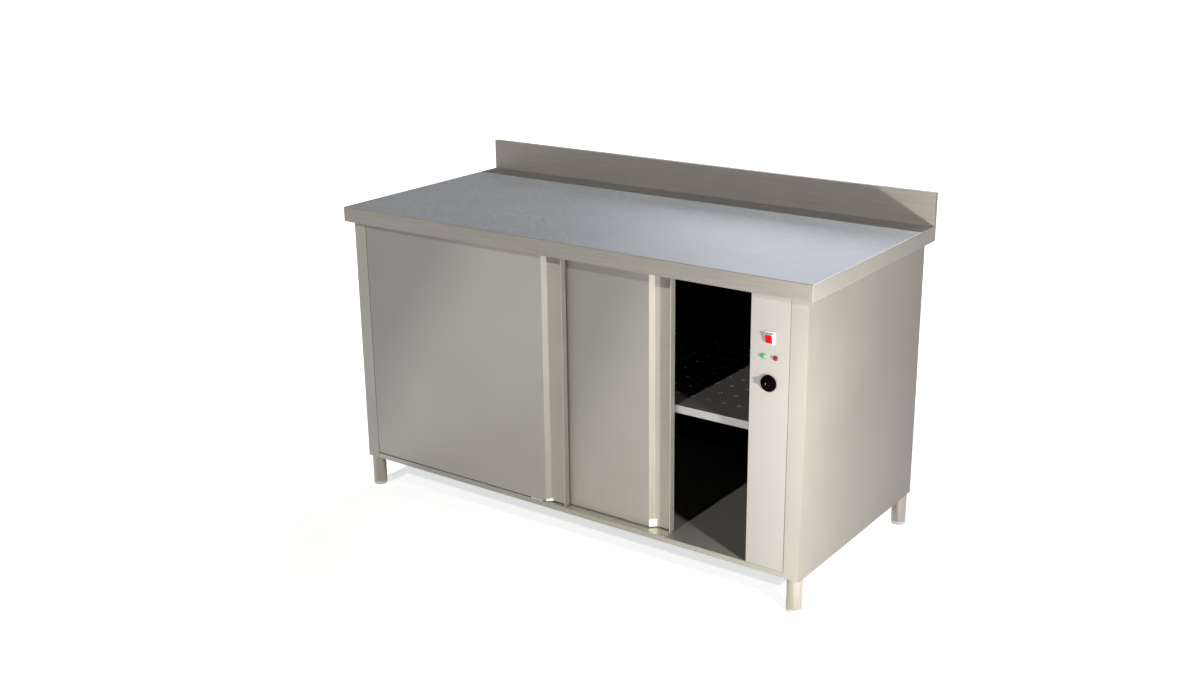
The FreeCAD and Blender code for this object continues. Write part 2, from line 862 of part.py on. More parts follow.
def make_switch_body():
    bezel_x = pocket_half_width + switch_bezel_width
    bezel_z = pocket_half_height + switch_bezel_width
    bezel_front = front_y - switch_bezel_thickness
    back = front_y + switch_depth
    bezel = box(panel_middle_x - bezel_x, panel_middle_x + bezel_x, bezel_front, front_y,
                switch_pivot_height - bezel_z, switch_pivot_height + bezel_z)
    body = box(panel_middle_x - housing_half_width, panel_middle_x + housing_half_width, bezel_front, back,
               switch_pivot_height - housing_half_height, switch_pivot_height + housing_half_height)
    pocket = box(panel_middle_x - pocket_half_width, panel_middle_x + pocket_half_width,
                 bezel_front - cut_overrun, back - switch_back_wall,
                 switch_pivot_height - pocket_half_height, switch_pivot_height + pocket_half_height)
    pin_length = 2 * (pocket_half_width + rocker_pin_length + seam_gap / 2)
    pin_hole = rod(rocker_pin_radius + rocker_pin_gap,
                   (panel_middle_x - pin_length / 2, pivot_y, switch_pivot_height), (1, 0, 0), pin_length)
    return joined([bezel, body]).cut([pocket, pin_hole])


def rocker_pose(shape):
    # At rest the rocker is pressed at its lower half, so its top stands out.
    shape.rotate(vector(panel_middle_x, pivot_y, switch_pivot_height), vector(1, 0, 0), rocker_tilt)
    return shape


def make_rocker():
    low_x = panel_middle_x - rocker_width / 2
    high_x = panel_middle_x + rocker_width / 2
    front = pivot_y - rocker_reach + lens_thickness
    block = box(low_x, high_x, front, pivot_y,
                switch_pivot_height - rocker_height / 2, switch_pivot_height + rocker_height / 2)
    drum = rod(rocker_drum_radius, (low_x, pivot_y, switch_pivot_height), (1, 0, 0), rocker_width)
    pin_length = 2 * (pocket_half_width + rocker_pin_length)
    pin = rod(rocker_pin_radius, (panel_middle_x - pin_length / 2, pivot_y, switch_pivot_height),
              (1, 0, 0), pin_length)
    return rocker_pose(joined([block, drum, pin]))


def make_rocker_lens():
    half_x = rocker_width / 2 - lens_margin
    half_z = rocker_height / 2 - lens_margin
    front = pivot_y - rocker_reach
    return rocker_pose(box(panel_middle_x - half_x, panel_middle_x + half_x, front, front + lens_thickness,
                           switch_pivot_height - half_z, switch_pivot_height + half_z))


add("switch_body", make_switch_body())
add("switch_rocker", make_rocker())
add("switch_lens", make_rocker_lens())


# Pilot lamps

def make_lamp(lamp_x):
    # Body, flange and lens turned as one, with a chamfered lens face.
    flange_front = front_y - lamp_flange_thickness
    lens_front = flange_front - lamp_lens_length
    face_front = lens_front - lamp_lens_chamfer
    half_outline = [(0, front_y + lamp_body_length), (lamp_body_radius, front_y + lamp_body_length),
                    (lamp_body_radius, front_y), (lamp_flange_radius, front_y),
                    (lamp_flange_radius, flange_front), (lamp_lens_radius, flange_front),
                    (lamp_lens_radius, lens_front), (lamp_lens_radius - lamp_lens_chamfer, face_front),
                    (0, face_front)]
    outline = [(lamp_x + across, along, lamp_height) for across, along in half_outline]
    return turned(outline, (lamp_x, front_y, lamp_height), (0, 1, 0))


add("lamp_green", make_lamp(lamp_places[0]))
add("lamp_red", make_lamp(lamp_places[1]))


# Thermostat, shaft, knob and capillary

def make_thermostat_body():
    half = thermostat_size / 2
    case = box(panel_middle_x - half, panel_middle_x + half, skin_back_y,
               skin_back_y + thermostat_depth, thermostat_height - half, thermostat_height + half)
    bush = rod(thermostat_bush_radius, (panel_middle_x, front_y, thermostat_height),
               (0, 1, 0), casing_sheet)
    bore = rod(shaft_radius + shaft_running_gap, (panel_middle_x, front_y - cut_overrun, thermostat_height),
               (0, 1, 0), cut_overrun + shaft_inner_length + assembly_gap)
    return joined([case, bush]).cut(bore)


knob_back = front_y - knob_panel_gap
knob_skirt_front = knob_back - knob_skirt
knob_front = knob_skirt_front - knob_grip_length


def make_knob():
    x = panel_middle_x
    z = thermostat_height
    outline = [(x, knob_back, z), (x + knob_radius, knob_back, z),
               (x + knob_radius, knob_skirt_front + knob_edge, z),
               (x + knob_radius - knob_edge, knob_skirt_front, z),
               (x + knob_grip_radius, knob_skirt_front, z),
               (x + knob_grip_radius - knob_edge / 2, knob_front + knob_edge, z),
               (x + knob_grip_radius - 2 * knob_edge, knob_front, z), (x, knob_front, z)]
    body = turned(outline, (x, knob_back, z), (0, 1, 0))
    socket = rod(shaft_radius + knob_socket_gap, (x, knob_back - knob_socket_depth, z), (0, 1, 0),
                 knob_socket_depth + cut_overrun)
    return body.cut(socket)


def make_thermostat_shaft():
    start = knob_back - knob_socket_depth + seam_gap
    return rod(shaft_radius, (panel_middle_x, start, thermostat_height), (0, 1, 0),
               front_y + shaft_inner_length - start)


def make_capillary():
    start_y = skin_back_y + thermostat_depth
    x = panel_middle_x
    turn_y = start_y + capillary_run_back
    bulb_x = right_wall_x - bulb_wall_gap - bulb_radius
    bulb_y = capillary_y + bulb_lead
    route = [(x, start_y, thermostat_height), (x, turn_y, thermostat_height),
             (x, turn_y, capillary_z), (x, capillary_y, capillary_z),
             (bulb_x, capillary_y, capillary_z), (bulb_x, bulb_y, capillary_z)]
    small_bend = bulb_radius + bulb_wall_gap
    tube = bent_tube(route, [capillary_bend, capillary_bend, capillary_bend, small_bend], capillary_radius)
    bulb = rod(bulb_radius, (bulb_x, bulb_y, capillary_z), (0, 1, 0), bulb_length)
    return joined([tube, bulb])


add("thermostat_body", make_thermostat_body())
add("thermostat_knob", make_knob())
add("thermostat_shaft", make_thermostat_shaft())
add("capillary_tube", make_capillary())


# Heater box, element, motor and fan

element_x = heater_x_high - element_wall_gap


def element_ends():
    half = math.radians(element_open_angle / 2)
    reach = element_ring_radius * math.sin(half)
    drop = element_ring_radius * math.cos(half)
    return [(fan_y - reach, fan_z - drop), (fan_y + reach, fan_z - drop)]


def make_heater_box():
    outer = box(heater_x_low, heater_x_high, heater_y_low, heater_y_high, heater_z_low, heater_z_high)
    flange = box(heater_x_low, heater_x_low + heater_sheet, heater_y_low - heater_flange,
                 heater_y_high + heater_flange, heater_z_low - heater_flange, heater_z_high + heater_flange)
    hollow = box(heater_x_low - cut_overrun, heater_x_high - heater_sheet, heater_y_low + heater_sheet,
                 heater_y_high - heater_sheet, heater_z_low + heater_sheet, heater_z_high - heater_sheet)
    cuts = [hollow, rod(fan_shaft_radius + fan_hole_gap, (heater_x_high - cut_overrun, fan_y, fan_z),
                        (1, 0, 0), 2 * cut_overrun)]
    for end_y, end_z in element_ends():
        cuts.append(rod(element_tube_radius + element_hole_gap, (heater_x_high - cut_overrun, end_y, end_z),
                        (1, 0, 0), 2 * cut_overrun))
    return joined([outer, flange]).cut(cuts)


def make_heating_element():
    ring = Part.makeTorus(element_ring_radius, element_tube_radius, vector(0, 0, 0), vector(0, 0, 1),
                          0, 360, 360 - element_open_angle)
    ring.rotate(vector(0, 0, 0), vector(0, 0, 1), element_open_angle / 2)
    ring.rotate(vector(0, 0, 0), vector(0, 1, 0), 90)
    ring.translate(vector(element_x, fan_y, fan_z))
    pieces = [ring]
    tail_length = heater_x_high - element_x + element_tail
    for end_y, end_z in element_ends():
        pieces.append(rod(element_tube_radius, (element_x, end_y, end_z), (1, 0, 0), tail_length))
        pieces.append(Part.makeSphere(element_tube_radius, vector(element_x, end_y, end_z)))
    return joined(pieces)


def make_fan_motor():
    half = motor_flange_size / 2
    flange = box(heater_x_high, heater_x_high + motor_flange_thickness, fan_y - half, fan_y + half,
                 fan_z - half, fan_z + half)
    can = rod(motor_radius, (heater_x_high, fan_y, fan_z), (1, 0, 0), motor_length)
    bore = rod(fan_shaft_radius + fan_shaft_gap, (heater_x_high - cut_overrun, fan_y, fan_z), (1, 0, 0),
               cut_overrun + motor_length - motor_bore_end)
    return joined([flange, can]).cut(bore)


def make_fan_impeller():
    # A backed radial wheel on its shaft, with straight blades round its rim.
    disc_x = heater_x_high - heater_sheet - fan_wall_gap
    blade_low = disc_x - fan_blade_height
    shaft_end = heater_x_high + motor_length - motor_bore_end - assembly_gap
    pieces = [
        rod(fan_radius, (disc_x - fan_disc_thickness, fan_y, fan_z), (1, 0, 0), fan_disc_thickness),
        rod(fan_hub_radius, (blade_low, fan_y, fan_z), (1, 0, 0), fan_blade_height),
        rod(fan_shaft_radius, (blade_low, fan_y, fan_z), (1, 0, 0), shaft_end - blade_low)]
    for index in range(fan_blade_count):
        blade = box(blade_low, disc_x, fan_y + fan_blade_root, fan_y + fan_radius,
                    fan_z - fan_blade_thickness / 2, fan_z + fan_blade_thickness / 2)
        blade.rotate(vector(disc_x, fan_y, fan_z), vector(1, 0, 0), index * 360 / fan_blade_count)
        pieces.append(blade)
    return joined(pieces)


add("heater_box", make_heater_box())
add("heating_element", make_heating_element())
add("fan_motor", make_fan_motor())
add("fan_impeller", make_fan_impeller())


# Cable gland, terminal block and wiring loom

gland_x = carcass_x - gland_offset
terminal_y = casing_back_y - terminal_back_gap


def make_cable_gland():
    outside = casing_back_y
    inside = casing_back_y - casing_sheet
    thread_start = inside - gland_inner_length
    thread_length = gland_inner_length + casing_sheet + gland_flange_thickness
    nut_start = inside - gland_nut_thickness

    def ring(radius, start_y, length):
        return rod(radius, (gland_x, start_y, gland_height), (0, 1, 0), length)

    body = joined([
        ring(gland_flange_radius, outside, gland_flange_thickness),
        ring(gland_dome_radius, outside, gland_flange_thickness + gland_dome_length),
        ring(gland_thread_radius, thread_start, thread_length)])
    bore = ring(gland_bore_radius, thread_start - cut_overrun,
                thread_length + gland_dome_length + 2 * cut_overrun)
    nut = ring(gland_nut_radius, nut_start, gland_nut_thickness)
    nut_hole = ring(gland_thread_radius + gland_nut_gap, nut_start - cut_overrun,
                    gland_nut_thickness + 2 * cut_overrun)
    return Part.makeCompound([body.cut(bore), nut.cut(nut_hole)])


def make_terminal_block():
    block = box(gland_x - terminal_width / 2, gland_x + terminal_width / 2, terminal_y - terminal_depth,
                terminal_y, floor_level, floor_level + terminal_height)
    pitch = terminal_width / terminal_hole_count
    first_x = gland_x - (terminal_width - pitch) / 2
    hole_bottom = floor_level + terminal_height - terminal_hole_depth
    holes = []
    for index in range(terminal_hole_count):
        for share in terminal_row_shares:
            holes.append(rod(terminal_hole_radius,
                             (first_x + index * pitch, terminal_y - share * terminal_depth, hole_bottom),
                             (0, 0, 1), terminal_hole_depth + cut_overrun))
    return block.cut(holes)


def make_wiring_loom():
    start_y = terminal_y - terminal_depth / 2
    switch_back = front_y + switch_depth
    turn_y = switch_back + loom_run_front
    route = [(gland_x, start_y, floor_level + terminal_height),
             (gland_x, start_y, switch_pivot_height),
             (gland_x, turn_y, switch_pivot_height),
             (panel_middle_x, turn_y, switch_pivot_height),
             (panel_middle_x, switch_back, switch_pivot_height)]
    return bent_tube(route, [loom_bend, loom_small_bend, loom_small_bend], loom_radius)


add("cable_gland", make_cable_gland())
add("terminal_block", make_terminal_block())
add("wiring_loom", make_wiring_loom())


# Legs, their corner plates and adjustable feet

def make_leg(x, y):
    tube = rod(leg_radius, (x, y, foot_height), (0, 0, 1), carcass_bottom - foot_height)
    hollow = rod(leg_radius - leg_wall, (x, y, foot_height + leg_bush_length), (0, 0, 1),
                 carcass_bottom - foot_height - leg_bush_length - leg_plug_length)
    stem_bore = rod(foot_stem_radius + foot_stem_gap, (x, y, foot_height - cut_overrun), (0, 0, 1),
                    leg_bush_length + 2 * cut_overrun)
    stud_bore = rod(leg_stud_radius + leg_stud_gap, (x, y, carcass_bottom - leg_plug_length - cut_overrun),
                    (0, 0, 1), leg_plug_length + 2 * cut_overrun)
    return tube.cut([hollow, stem_bore, stud_bore])


def make_foot(x, y):
    arc_start = vector(x + foot_flat_radius, y, 0)
    arc_end = vector(x + leg_radius, y, foot_rounding)
    bend = 1 - 1 / math.sqrt(2)
    arc_middle = vector(x + leg_radius - (leg_radius - foot_flat_radius) * bend, y, foot_rounding * bend)
    edges = [Part.LineSegment(vector(x, y, 0), arc_start), Part.Arc(arc_start, arc_middle, arc_end),
             Part.LineSegment(arc_end, vector(x + leg_radius, y, foot_height)),
             Part.LineSegment(vector(x + leg_radius, y, foot_height), vector(x, y, foot_height)),
             Part.LineSegment(vector(x, y, foot_height), vector(x, y, 0))]
    face = Part.Face(Part.Wire([edge.toShape() for edge in edges]))
    pad = face.revolve(vector(x, y, 0), vector(0, 0, 1), 360)
    stem = rod(foot_stem_radius, (x, y, foot_rounding), (0, 0, 1),
               foot_height - foot_rounding + foot_stem_length)
    return joined([pad, stem])


def make_leg_mounts():
    # Square plates in the tray's corners, each with the stud that its leg screws onto.
    level = carcass_bottom + casing_sheet
    outer_x = carcass_x - casing_sheet - assembly_gap - tray_flange_sheet - assembly_gap
    outer_y = casing_back_y - casing_sheet - assembly_gap - tray_flange_sheet - assembly_gap
    plates = []
    for x, y in leg_places().values():
        plate_x = sorted((math.copysign(outer_x, x), math.copysign(outer_x - corner_plate_size, x)))
        plate_y = sorted((math.copysign(outer_y, y), math.copysign(outer_y - corner_plate_size, y)))
        plate = box(plate_x[0], plate_x[1], plate_y[0], plate_y[1], level, level + corner_plate_thickness)
        stud_length = leg_plug_length - leg_stud_clearance + casing_sheet + corner_plate_thickness
        stud = rod(leg_stud_radius, (x, y, level + corner_plate_thickness), (0, 0, -1), stud_length)
        plates.append(joined([plate, stud]))
    return Part.makeCompound(plates)


add("leg_mounts", make_leg_mounts())
for corner, (leg_x, leg_y) in leg_places().items():
    add("leg_" + corner, make_leg(leg_x, leg_y))
    add("foot_" + corner, make_foot(leg_x, leg_y))


os.makedirs("parts", exist_ok=True)
for node_name, node_shape in save_list:
    save(node_name, node_shape)
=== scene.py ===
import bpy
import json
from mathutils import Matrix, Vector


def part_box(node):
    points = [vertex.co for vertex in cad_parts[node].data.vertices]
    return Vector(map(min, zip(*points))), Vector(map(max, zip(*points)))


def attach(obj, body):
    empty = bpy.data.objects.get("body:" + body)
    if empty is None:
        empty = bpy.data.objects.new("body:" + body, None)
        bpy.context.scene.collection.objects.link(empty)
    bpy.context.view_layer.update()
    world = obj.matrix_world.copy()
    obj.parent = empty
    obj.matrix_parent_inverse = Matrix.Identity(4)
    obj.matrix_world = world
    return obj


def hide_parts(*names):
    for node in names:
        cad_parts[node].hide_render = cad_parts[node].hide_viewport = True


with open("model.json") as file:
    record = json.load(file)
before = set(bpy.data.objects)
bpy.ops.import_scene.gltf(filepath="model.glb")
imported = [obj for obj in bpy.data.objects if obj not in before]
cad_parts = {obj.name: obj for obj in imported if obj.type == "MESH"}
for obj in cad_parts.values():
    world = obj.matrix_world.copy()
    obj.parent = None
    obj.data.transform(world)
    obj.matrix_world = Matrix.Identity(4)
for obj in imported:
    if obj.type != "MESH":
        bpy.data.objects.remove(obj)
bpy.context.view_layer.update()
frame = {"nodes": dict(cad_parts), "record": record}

import json
import math

import bmesh
import bpy
from bpy.props import FloatProperty, FloatVectorProperty, IntProperty, PointerProperty
from bpy.types import Operator, Panel, PropertyGroup
from mathutils import Matrix, Vector

bl_info = {
    "name": "Plate warmer cabinet",
    "version": (1, 0, 0),
    "blender": (4, 5, 0),
    "location": "3D View > Sidebar > Cabinet",
    "description": "Folded steel, controls and feet around a heated cabinet's fixed frame",
    "category": "Mesh",
}

MM = 0.001
# How far a place may be off and still count as the same.
SLACK = 0.2 * MM
UP, DOWN = Vector((0, 0, 1)), Vector((0, 0, -1))
BACK, FRONT = Vector((0, 1, 0)), Vector((0, -1, 0))
RIGHT = Vector((1, 0, 0))


def paint(code, alpha=False):
    """The linear colour of an sRGB hex value."""
    channels = [int(code[place:place + 2], 16) / 255 for place in (1, 3, 5)]
    linear = [c / 12.92 if c <= 0.04045 else ((c + 0.055) / 1.055) ** 2.4 for c in channels]
    return (*linear, 1.0) if alpha else tuple(linear)


def a_length(name, description, length_mm):
    return FloatProperty(name=name, description=description, default=length_mm * MM, min=0.0,
                         subtype="DISTANCE", unit="LENGTH", precision=5)


def a_count(name, description, default, least=1, most=200):
    return IntProperty(name=name, description=description, default=default, min=least, max=most)


def a_colour(name, description, code):
    return FloatVectorProperty(name=name, description=description, default=paint(code), size=3,
                               min=0.0, max=1.0, subtype="COLOR")


def a_strength(name, description, default, most=2.0):
    return FloatProperty(name=name, description=description, default=default, min=0.0, max=most)


class CabinetSizes(PropertyGroup):
    """Radii and small sizes that the fixed frame leaves to the finish."""
    worktop_radius: a_length("Worktop fold", "Radius of the worktop's folded edges", 2.4)
    fold_radius: a_length("Sheet fold", "Outer radius of a fold in the casing sheet", 1.4)
    door_fold: a_length("Door fold", "Outer radius of a fold in a door's sheet", 0.9)
    casing_sheet: a_length("Casing sheet", "Thickness of the casing's sheet", 1.2)
    door_sheet: a_length("Door sheet", "Thickness of a door's sheet", 1.0)
    worktop_sheet: a_length("Worktop sheet", "Thickness of the worktop's sheet", 1.5)
    worktop_lip: a_length("Worktop lip", "Width of the lip folded under the worktop", 14)
    side_return: a_length("Side return", "Width of a side skin's rear and top returns", 25)
    left_jamb: a_length("Left jamb", "Depth of the left side skin's jamb", 68)
    panel_return: a_length("Panel return", "Depth of the returns beside the control panel", 15)
    assembly_gap: a_length("Assembly gap", "Play between sheets that are put together", 0.3)
    seam: a_length("Seam", "Gap at a seam between two sheets", 0.2)
    channel_width: a_length("Grip width", "Width of a door's grip channel with its lip", 65.7)
    channel_slant: a_length("Grip slant", "How far the grip's left wall leans", 7.5)
    channel_depth: a_length("Grip depth", "Depth of a door's grip channel", 14.5)
    channel_lip: a_length("Grip lip", "Width of the lip at a door's right edge", 3.1)
    groove_width: a_length("Groove width", "Width of the groove over the floor guide", 6.4)
    groove_height: a_length("Groove height", "Height of the groove over the floor guide", 9)
    hole_radius: a_length("Shelf hole", "Radius of the shelf's pressed holes", 4.0)
    # The ring is a painted highlight round each hole.
    painted_ring_width: a_length("Bright rim", "Width of the pale painted_highlight rim round each shelf hole", 1.6)
    hole_pitch_x: a_length("Hole pitch across", "From hole to hole across the shelf", 46.1)
    hole_pitch_y: a_length("Hole pitch back", "From hole to hole towards the back", 60.6)
    hole_margin: a_length("Hole margin", "From the shelf's front to the first row", 79)
    hole_columns: a_count("Hole columns", "Holes across the shelf", 26)
    hole_rows: a_count("Hole rows", "Holes from front to back", 8)
    bezel_width: a_length("Bezel width", "Width of the switch's bezel beside its pocket", 3.2)
    switch_wall: a_length("Switch wall", "Thickness of the switch housing's wall", 1.6)
    leg_edge: a_length("Leg end", "Chamfer on the cut end of a leg's tube", 0.5)
    round_steps: a_count("Round steps", "Sides of the turned legs, feet and knob", 64, 12, 128)


class CabinetColours(PropertyGroup):
    """Colours of the metals and plastics."""
    worktop: a_colour("Worktop", "Steel of the worktop's edges and upstand", "#A7A197")
    # Darker and cooler than the worktop's edges: partly painted shade on the top.
    deck: a_colour("Deck", "Steel of the deck, ground finer and cooler", "#989896")
    doors: a_colour("Doors", "Steel of the sliding doors", "#B5B1A6")
    # The channels are painted lighter and their walls darker than the doors: painted light and shade.
    channels: a_colour("Door channels", "Steel of the doors' grip channels", "#B9B4A7")
    painted_shade_channel_walls: a_colour("Channel walls", "Steel of the channels' slanted walls", "#A5A197")
    # Darker than the doors: painted shade on edges and folds.
    painted_shade_edges: a_colour("Door edges", "Steel of the doors' right edges", "#88847D")
    casing: a_colour("Casing", "Steel of the side skins", "#9C968C")
    # Paler than the casing, though the same sheet: painted light.
    stile: a_colour("Stiles", "Steel of the front stiles", "#B5B1A7")
    panel: a_colour("Control panel", "Steel of the control panel", "#BEB9B2")
    floor: a_colour("Chamber floor", "Steel of the chamber floor and bottom rail", "#B8B6A9")
    # Darker than the rail: painted shade.
    floor_inside: a_colour("Floor inside", "Steel of the chamber floor behind the rail", "#8B8981")
    shelf: a_colour("Shelf", "Steel of the perforated shelf", "#C1BEB8")
    # Near black: painted shade.
    liner: a_colour("Liner", "Dark steel that lines the chamber", "#0B0B0B")
    zinc: a_colour("Zinc", "Zinc coating of brackets, tray and track", "#9AA0A3")
    leg: a_colour("Legs", "Steel tube of the legs", "#B6AEA2")
    nylon: a_colour("Nylon", "White nylon of blocks, rollers and guide", "#EFEFEA")
    rocker: a_colour("Rocker", "Red lens of the rocker switch", "#B40300")
    green_lamp: a_colour("Green lamp", "Lens of the left pilot lamp", "#2F983D")
    red_lamp: a_colour("Red lamp", "Lens of the right pilot lamp", "#710F17")
    knob: a_colour("Knob", "Black plastic of the thermostat knob", "#040404")
    foot: a_colour("Feet", "Grey plastic of the adjustable feet", "#C9CECE")


class StudioSettings(PropertyGroup):
    """Strength of the studio's lights."""
    front_light: a_strength("Front light", "Power of the high light in front", 1.7, 10.0)
    right_light: a_strength("Right light", "Power of the small light close to the right side", 57.0, 100.0)
    back_light: a_strength("Back light", "Power of the high light behind", 2.65, 10.0)
    side_light: a_strength("Side light", "Power of the low light behind on the left", 33.0, 100.0)
    room_light: a_strength("Room light", "Strength of the even light all round", 0.02)
    room_in_metal: a_strength("Room in metal", "Strength of the room as metal shows it", 0.28)
    floor_white: a_strength("Floor white", "What the floor gains as the camera sees it", 0.68)
    floor_in_metal: a_strength("Floor in metal", "What the floor gains as metal shows it", 0.2)


# Selecting and shaping

def end_edit():
    bpy.ops.object.mode_set(mode="OBJECT")


def deselect_all():
    if bpy.context.mode != "OBJECT":
        end_edit()
    bpy.ops.object.select_all(action="DESELECT")


def make_active(piece):
    deselect_all()
    piece.select_set(True)
    bpy.context.view_layer.objects.active = piece


def start_edit(piece):
    make_active(piece)
    bpy.ops.object.mode_set(mode="EDIT")


def select_mesh():
    bpy.ops.mesh.select_all(action="SELECT")


def turn_outwards():
    select_mesh()
    bpy.ops.mesh.normals_make_consistent(inside=False)


def near(a, b, slack=SLACK):
    return abs(a - b) < slack


def looks(normal, way):
    """Whether a face looks one way, give or take a slight turn."""
    return normal.dot(way) > 0.9


def runs(direction, way):
    """Whether an edge or a normal runs along a way, in either sense."""
    return abs(direction.dot(way)) > 0.9


def on_front_fold(normal):
    """Whether a face belongs to an upright fold between a front and a side."""
    return -0.985 < normal.y < -0.12 and abs(normal.x) > 0.15


def pick(piece, kind, wanted):
    """Selects, in edit mode, the verts, edges or faces whose middle and direction are wanted."""
    bpy.ops.mesh.select_mode(type=kind[:-1].upper())
    bpy.ops.mesh.select_all(action="DESELECT")
    shape = bmesh.from_edit_mesh(piece.data)
    count = 0
    for element in getattr(shape, kind):
        if kind == "verts":
            middle, direction = element.co, element.normal
        elif kind == "edges":
            middle = (element.verts[0].co + element.verts[1].co) / 2
            direction = (element.verts[1].co - element.verts[0].co).normalized()
        else:
            middle, direction = element.calc_center_median(), element.normal
        if wanted(middle, direction):
            element.select_set(True)
            count += 1
    shape.select_flush_mode()
    bmesh.update_edit_mesh(piece.data)
    if not count:
        raise RuntimeError(piece.name + " has no such " + kind)


def extrude(offset):
    bpy.ops.mesh.extrude_region_move(TRANSFORM_OT_translate={"value": offset})


def bisect(place, normal):
    select_mesh()
    bpy.ops.mesh.bisect(plane_co=place, plane_no=normal)


def delete_faces(piece, wanted):
    pick(piece, "faces", wanted)
    bpy.ops.mesh.delete(type="FACE")


def bevel_edges(piece, wanted, radius, segments=3):
    pick(piece, "edges", wanted)
    bpy.ops.mesh.bevel(offset=radius, segments=segments, affect="EDGES")


def new_block(name, low, high):
    """A cube set to its size and place, ready to be shaped."""
    deselect_all()
    middle = [(a + b) / 2 for a, b in zip(low, high)]
    bpy.ops.mesh.primitive_cube_add(size=1, location=middle)
    piece = bpy.context.object
    piece.name = name
    piece.scale = [b - a for a, b in zip(low, high)]
    bpy.ops.object.transform_apply()
    return piece


def new_turned(name, profile, centre, axis, steps):
    """A piece of revolution, spun from a half profile in mm: radius, and distance along the axis.

    The profile is drawn by extruding one vertex from point to point.
    """
    across = RIGHT if abs(axis.x) < 0.5 else UP
    points = [centre + across * (radius * MM) + axis * (along * MM) for radius, along in profile]
    deselect_all()
    bpy.ops.mesh.primitive_plane_add(size=MM, location=points[0])
    piece = bpy.context.object
    piece.name = name
    bpy.ops.object.transform_apply()
    start_edit(piece)
    bpy.ops.mesh.select_mode(type="VERT")
    select_mesh()
    bpy.ops.mesh.merge(type="CENTER")
    for before, after in zip(points, points[1:]):
        bpy.ops.mesh.extrude_vertices_move(TRANSFORM_OT_translate={"value": after - before})
    select_mesh()
    bpy.ops.mesh.spin(steps=steps, angle=2 * math.pi, center=centre, axis=axis)
    select_mesh()
    bpy.ops.mesh.remove_doubles(threshold=0.02 * MM)
    turn_outwards()
    end_edit()
    return piece


def apply_modifier(piece, kind, **settings):
    make_active(piece)
    modifier = piece.modifiers.new(kind.title(), kind)
    for key, value in settings.items():
        setattr(modifier, key, value)
    bpy.ops.object.modifier_apply(modifier=modifier.name)


def thicken(piece, sheet):
    """Gives a folded surface its sheet thickness, on the inner side."""
    apply_modifier(piece, "SOLIDIFY", thickness=sheet, offset=-1.0, use_even_offset=True)


def combine(piece, other, operation="DIFFERENCE"):
    """Cuts the other piece away or, with UNION, adds it on."""
    apply_modifier(piece, "BOOLEAN", object=other, operation=operation, solver="EXACT")
    bpy.data.objects.remove(other)


def drill(piece, radius, start, end):
    deselect_all()
    bpy.ops.mesh.primitive_cylinder_add(vertices=32, radius=radius, depth=(end - start).length,
                                        location=(start + end) / 2,
                                        rotation=(end - start).to_track_quat("Z", "Y").to_euler())
    combine(piece, bpy.context.object)


def join_pieces(pieces):
    make_active(pieces[0])
    for piece in pieces:
        piece.select_set(True)
    bpy.ops.object.join()
    return pieces[0]


def face_finish(piece, finish, wanted):
    """Gives the faces that are wanted another finish, as a differently brushed side of a sheet has; here it
    mostly gives folds, edges, stiles, channels, the deck and the inner floor a lighter or darker copy of
    the steel, as painted light and shade.
    """
    piece.data.materials.append(finishes[finish])
    place = len(piece.data.materials) - 1
    for face in piece.data.polygons:
        if wanted(face.center, face.normal):
            face.material_index = place


def finish_piece(piece, finish, node, body="cabinet", smooth=40):
    """Smooths a piece, gives it its finish and hands it to its body in place of a CAD node."""
    make_active(piece)
    bpy.ops.object.shade_smooth_by_angle(angle=math.radians(smooth))
    # Faces count by their size, so that flat sheet stays flat beside its folds.
    apply_modifier(piece, "WEIGHTED_NORMAL", keep_sharp=True)
    piece.data.materials.clear()
    piece.data.materials.append(finishes[finish])
    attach(piece, body)
    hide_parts(node)


# Materials

def add_node(material, kind, settings=None, links=None):
    """Adds one node, sets it and links its inputs, each to a socket or a node's first output."""
    node = material.node_tree.nodes.new("ShaderNode" + kind)
    node.location = (220 * len(material.node_tree.nodes) - 2600, 0)
    for key, value in (settings or {}).items():
        if isinstance(key, str) and hasattr(node, key):
            setattr(node, key, value)
        else:
            node.inputs[key].default_value = value
    for key, source in (links or {}).items():
        output = source.outputs[0] if isinstance(source, bpy.types.Node) else source
        material.node_tree.links.new(output, node.inputs[key])
    return node


def new_material(name, **sockets):
    """A material with a plain Principled surface and its fixed sockets set."""
    material = bpy.data.materials.new(name)
    material.use_nodes = True
    surface = material.node_tree.nodes["Principled BSDF"]
    for key, value in sockets.items():
        surface.inputs[key.replace("_", " ")].default_value = value
    return material, surface


def around(value, spread):
    """Settings that turn the middle of a noise into a range round a value."""
    return {"From Min": 0.3, "From Max": 0.7, "To Min": value - spread, "To Max": value + spread}


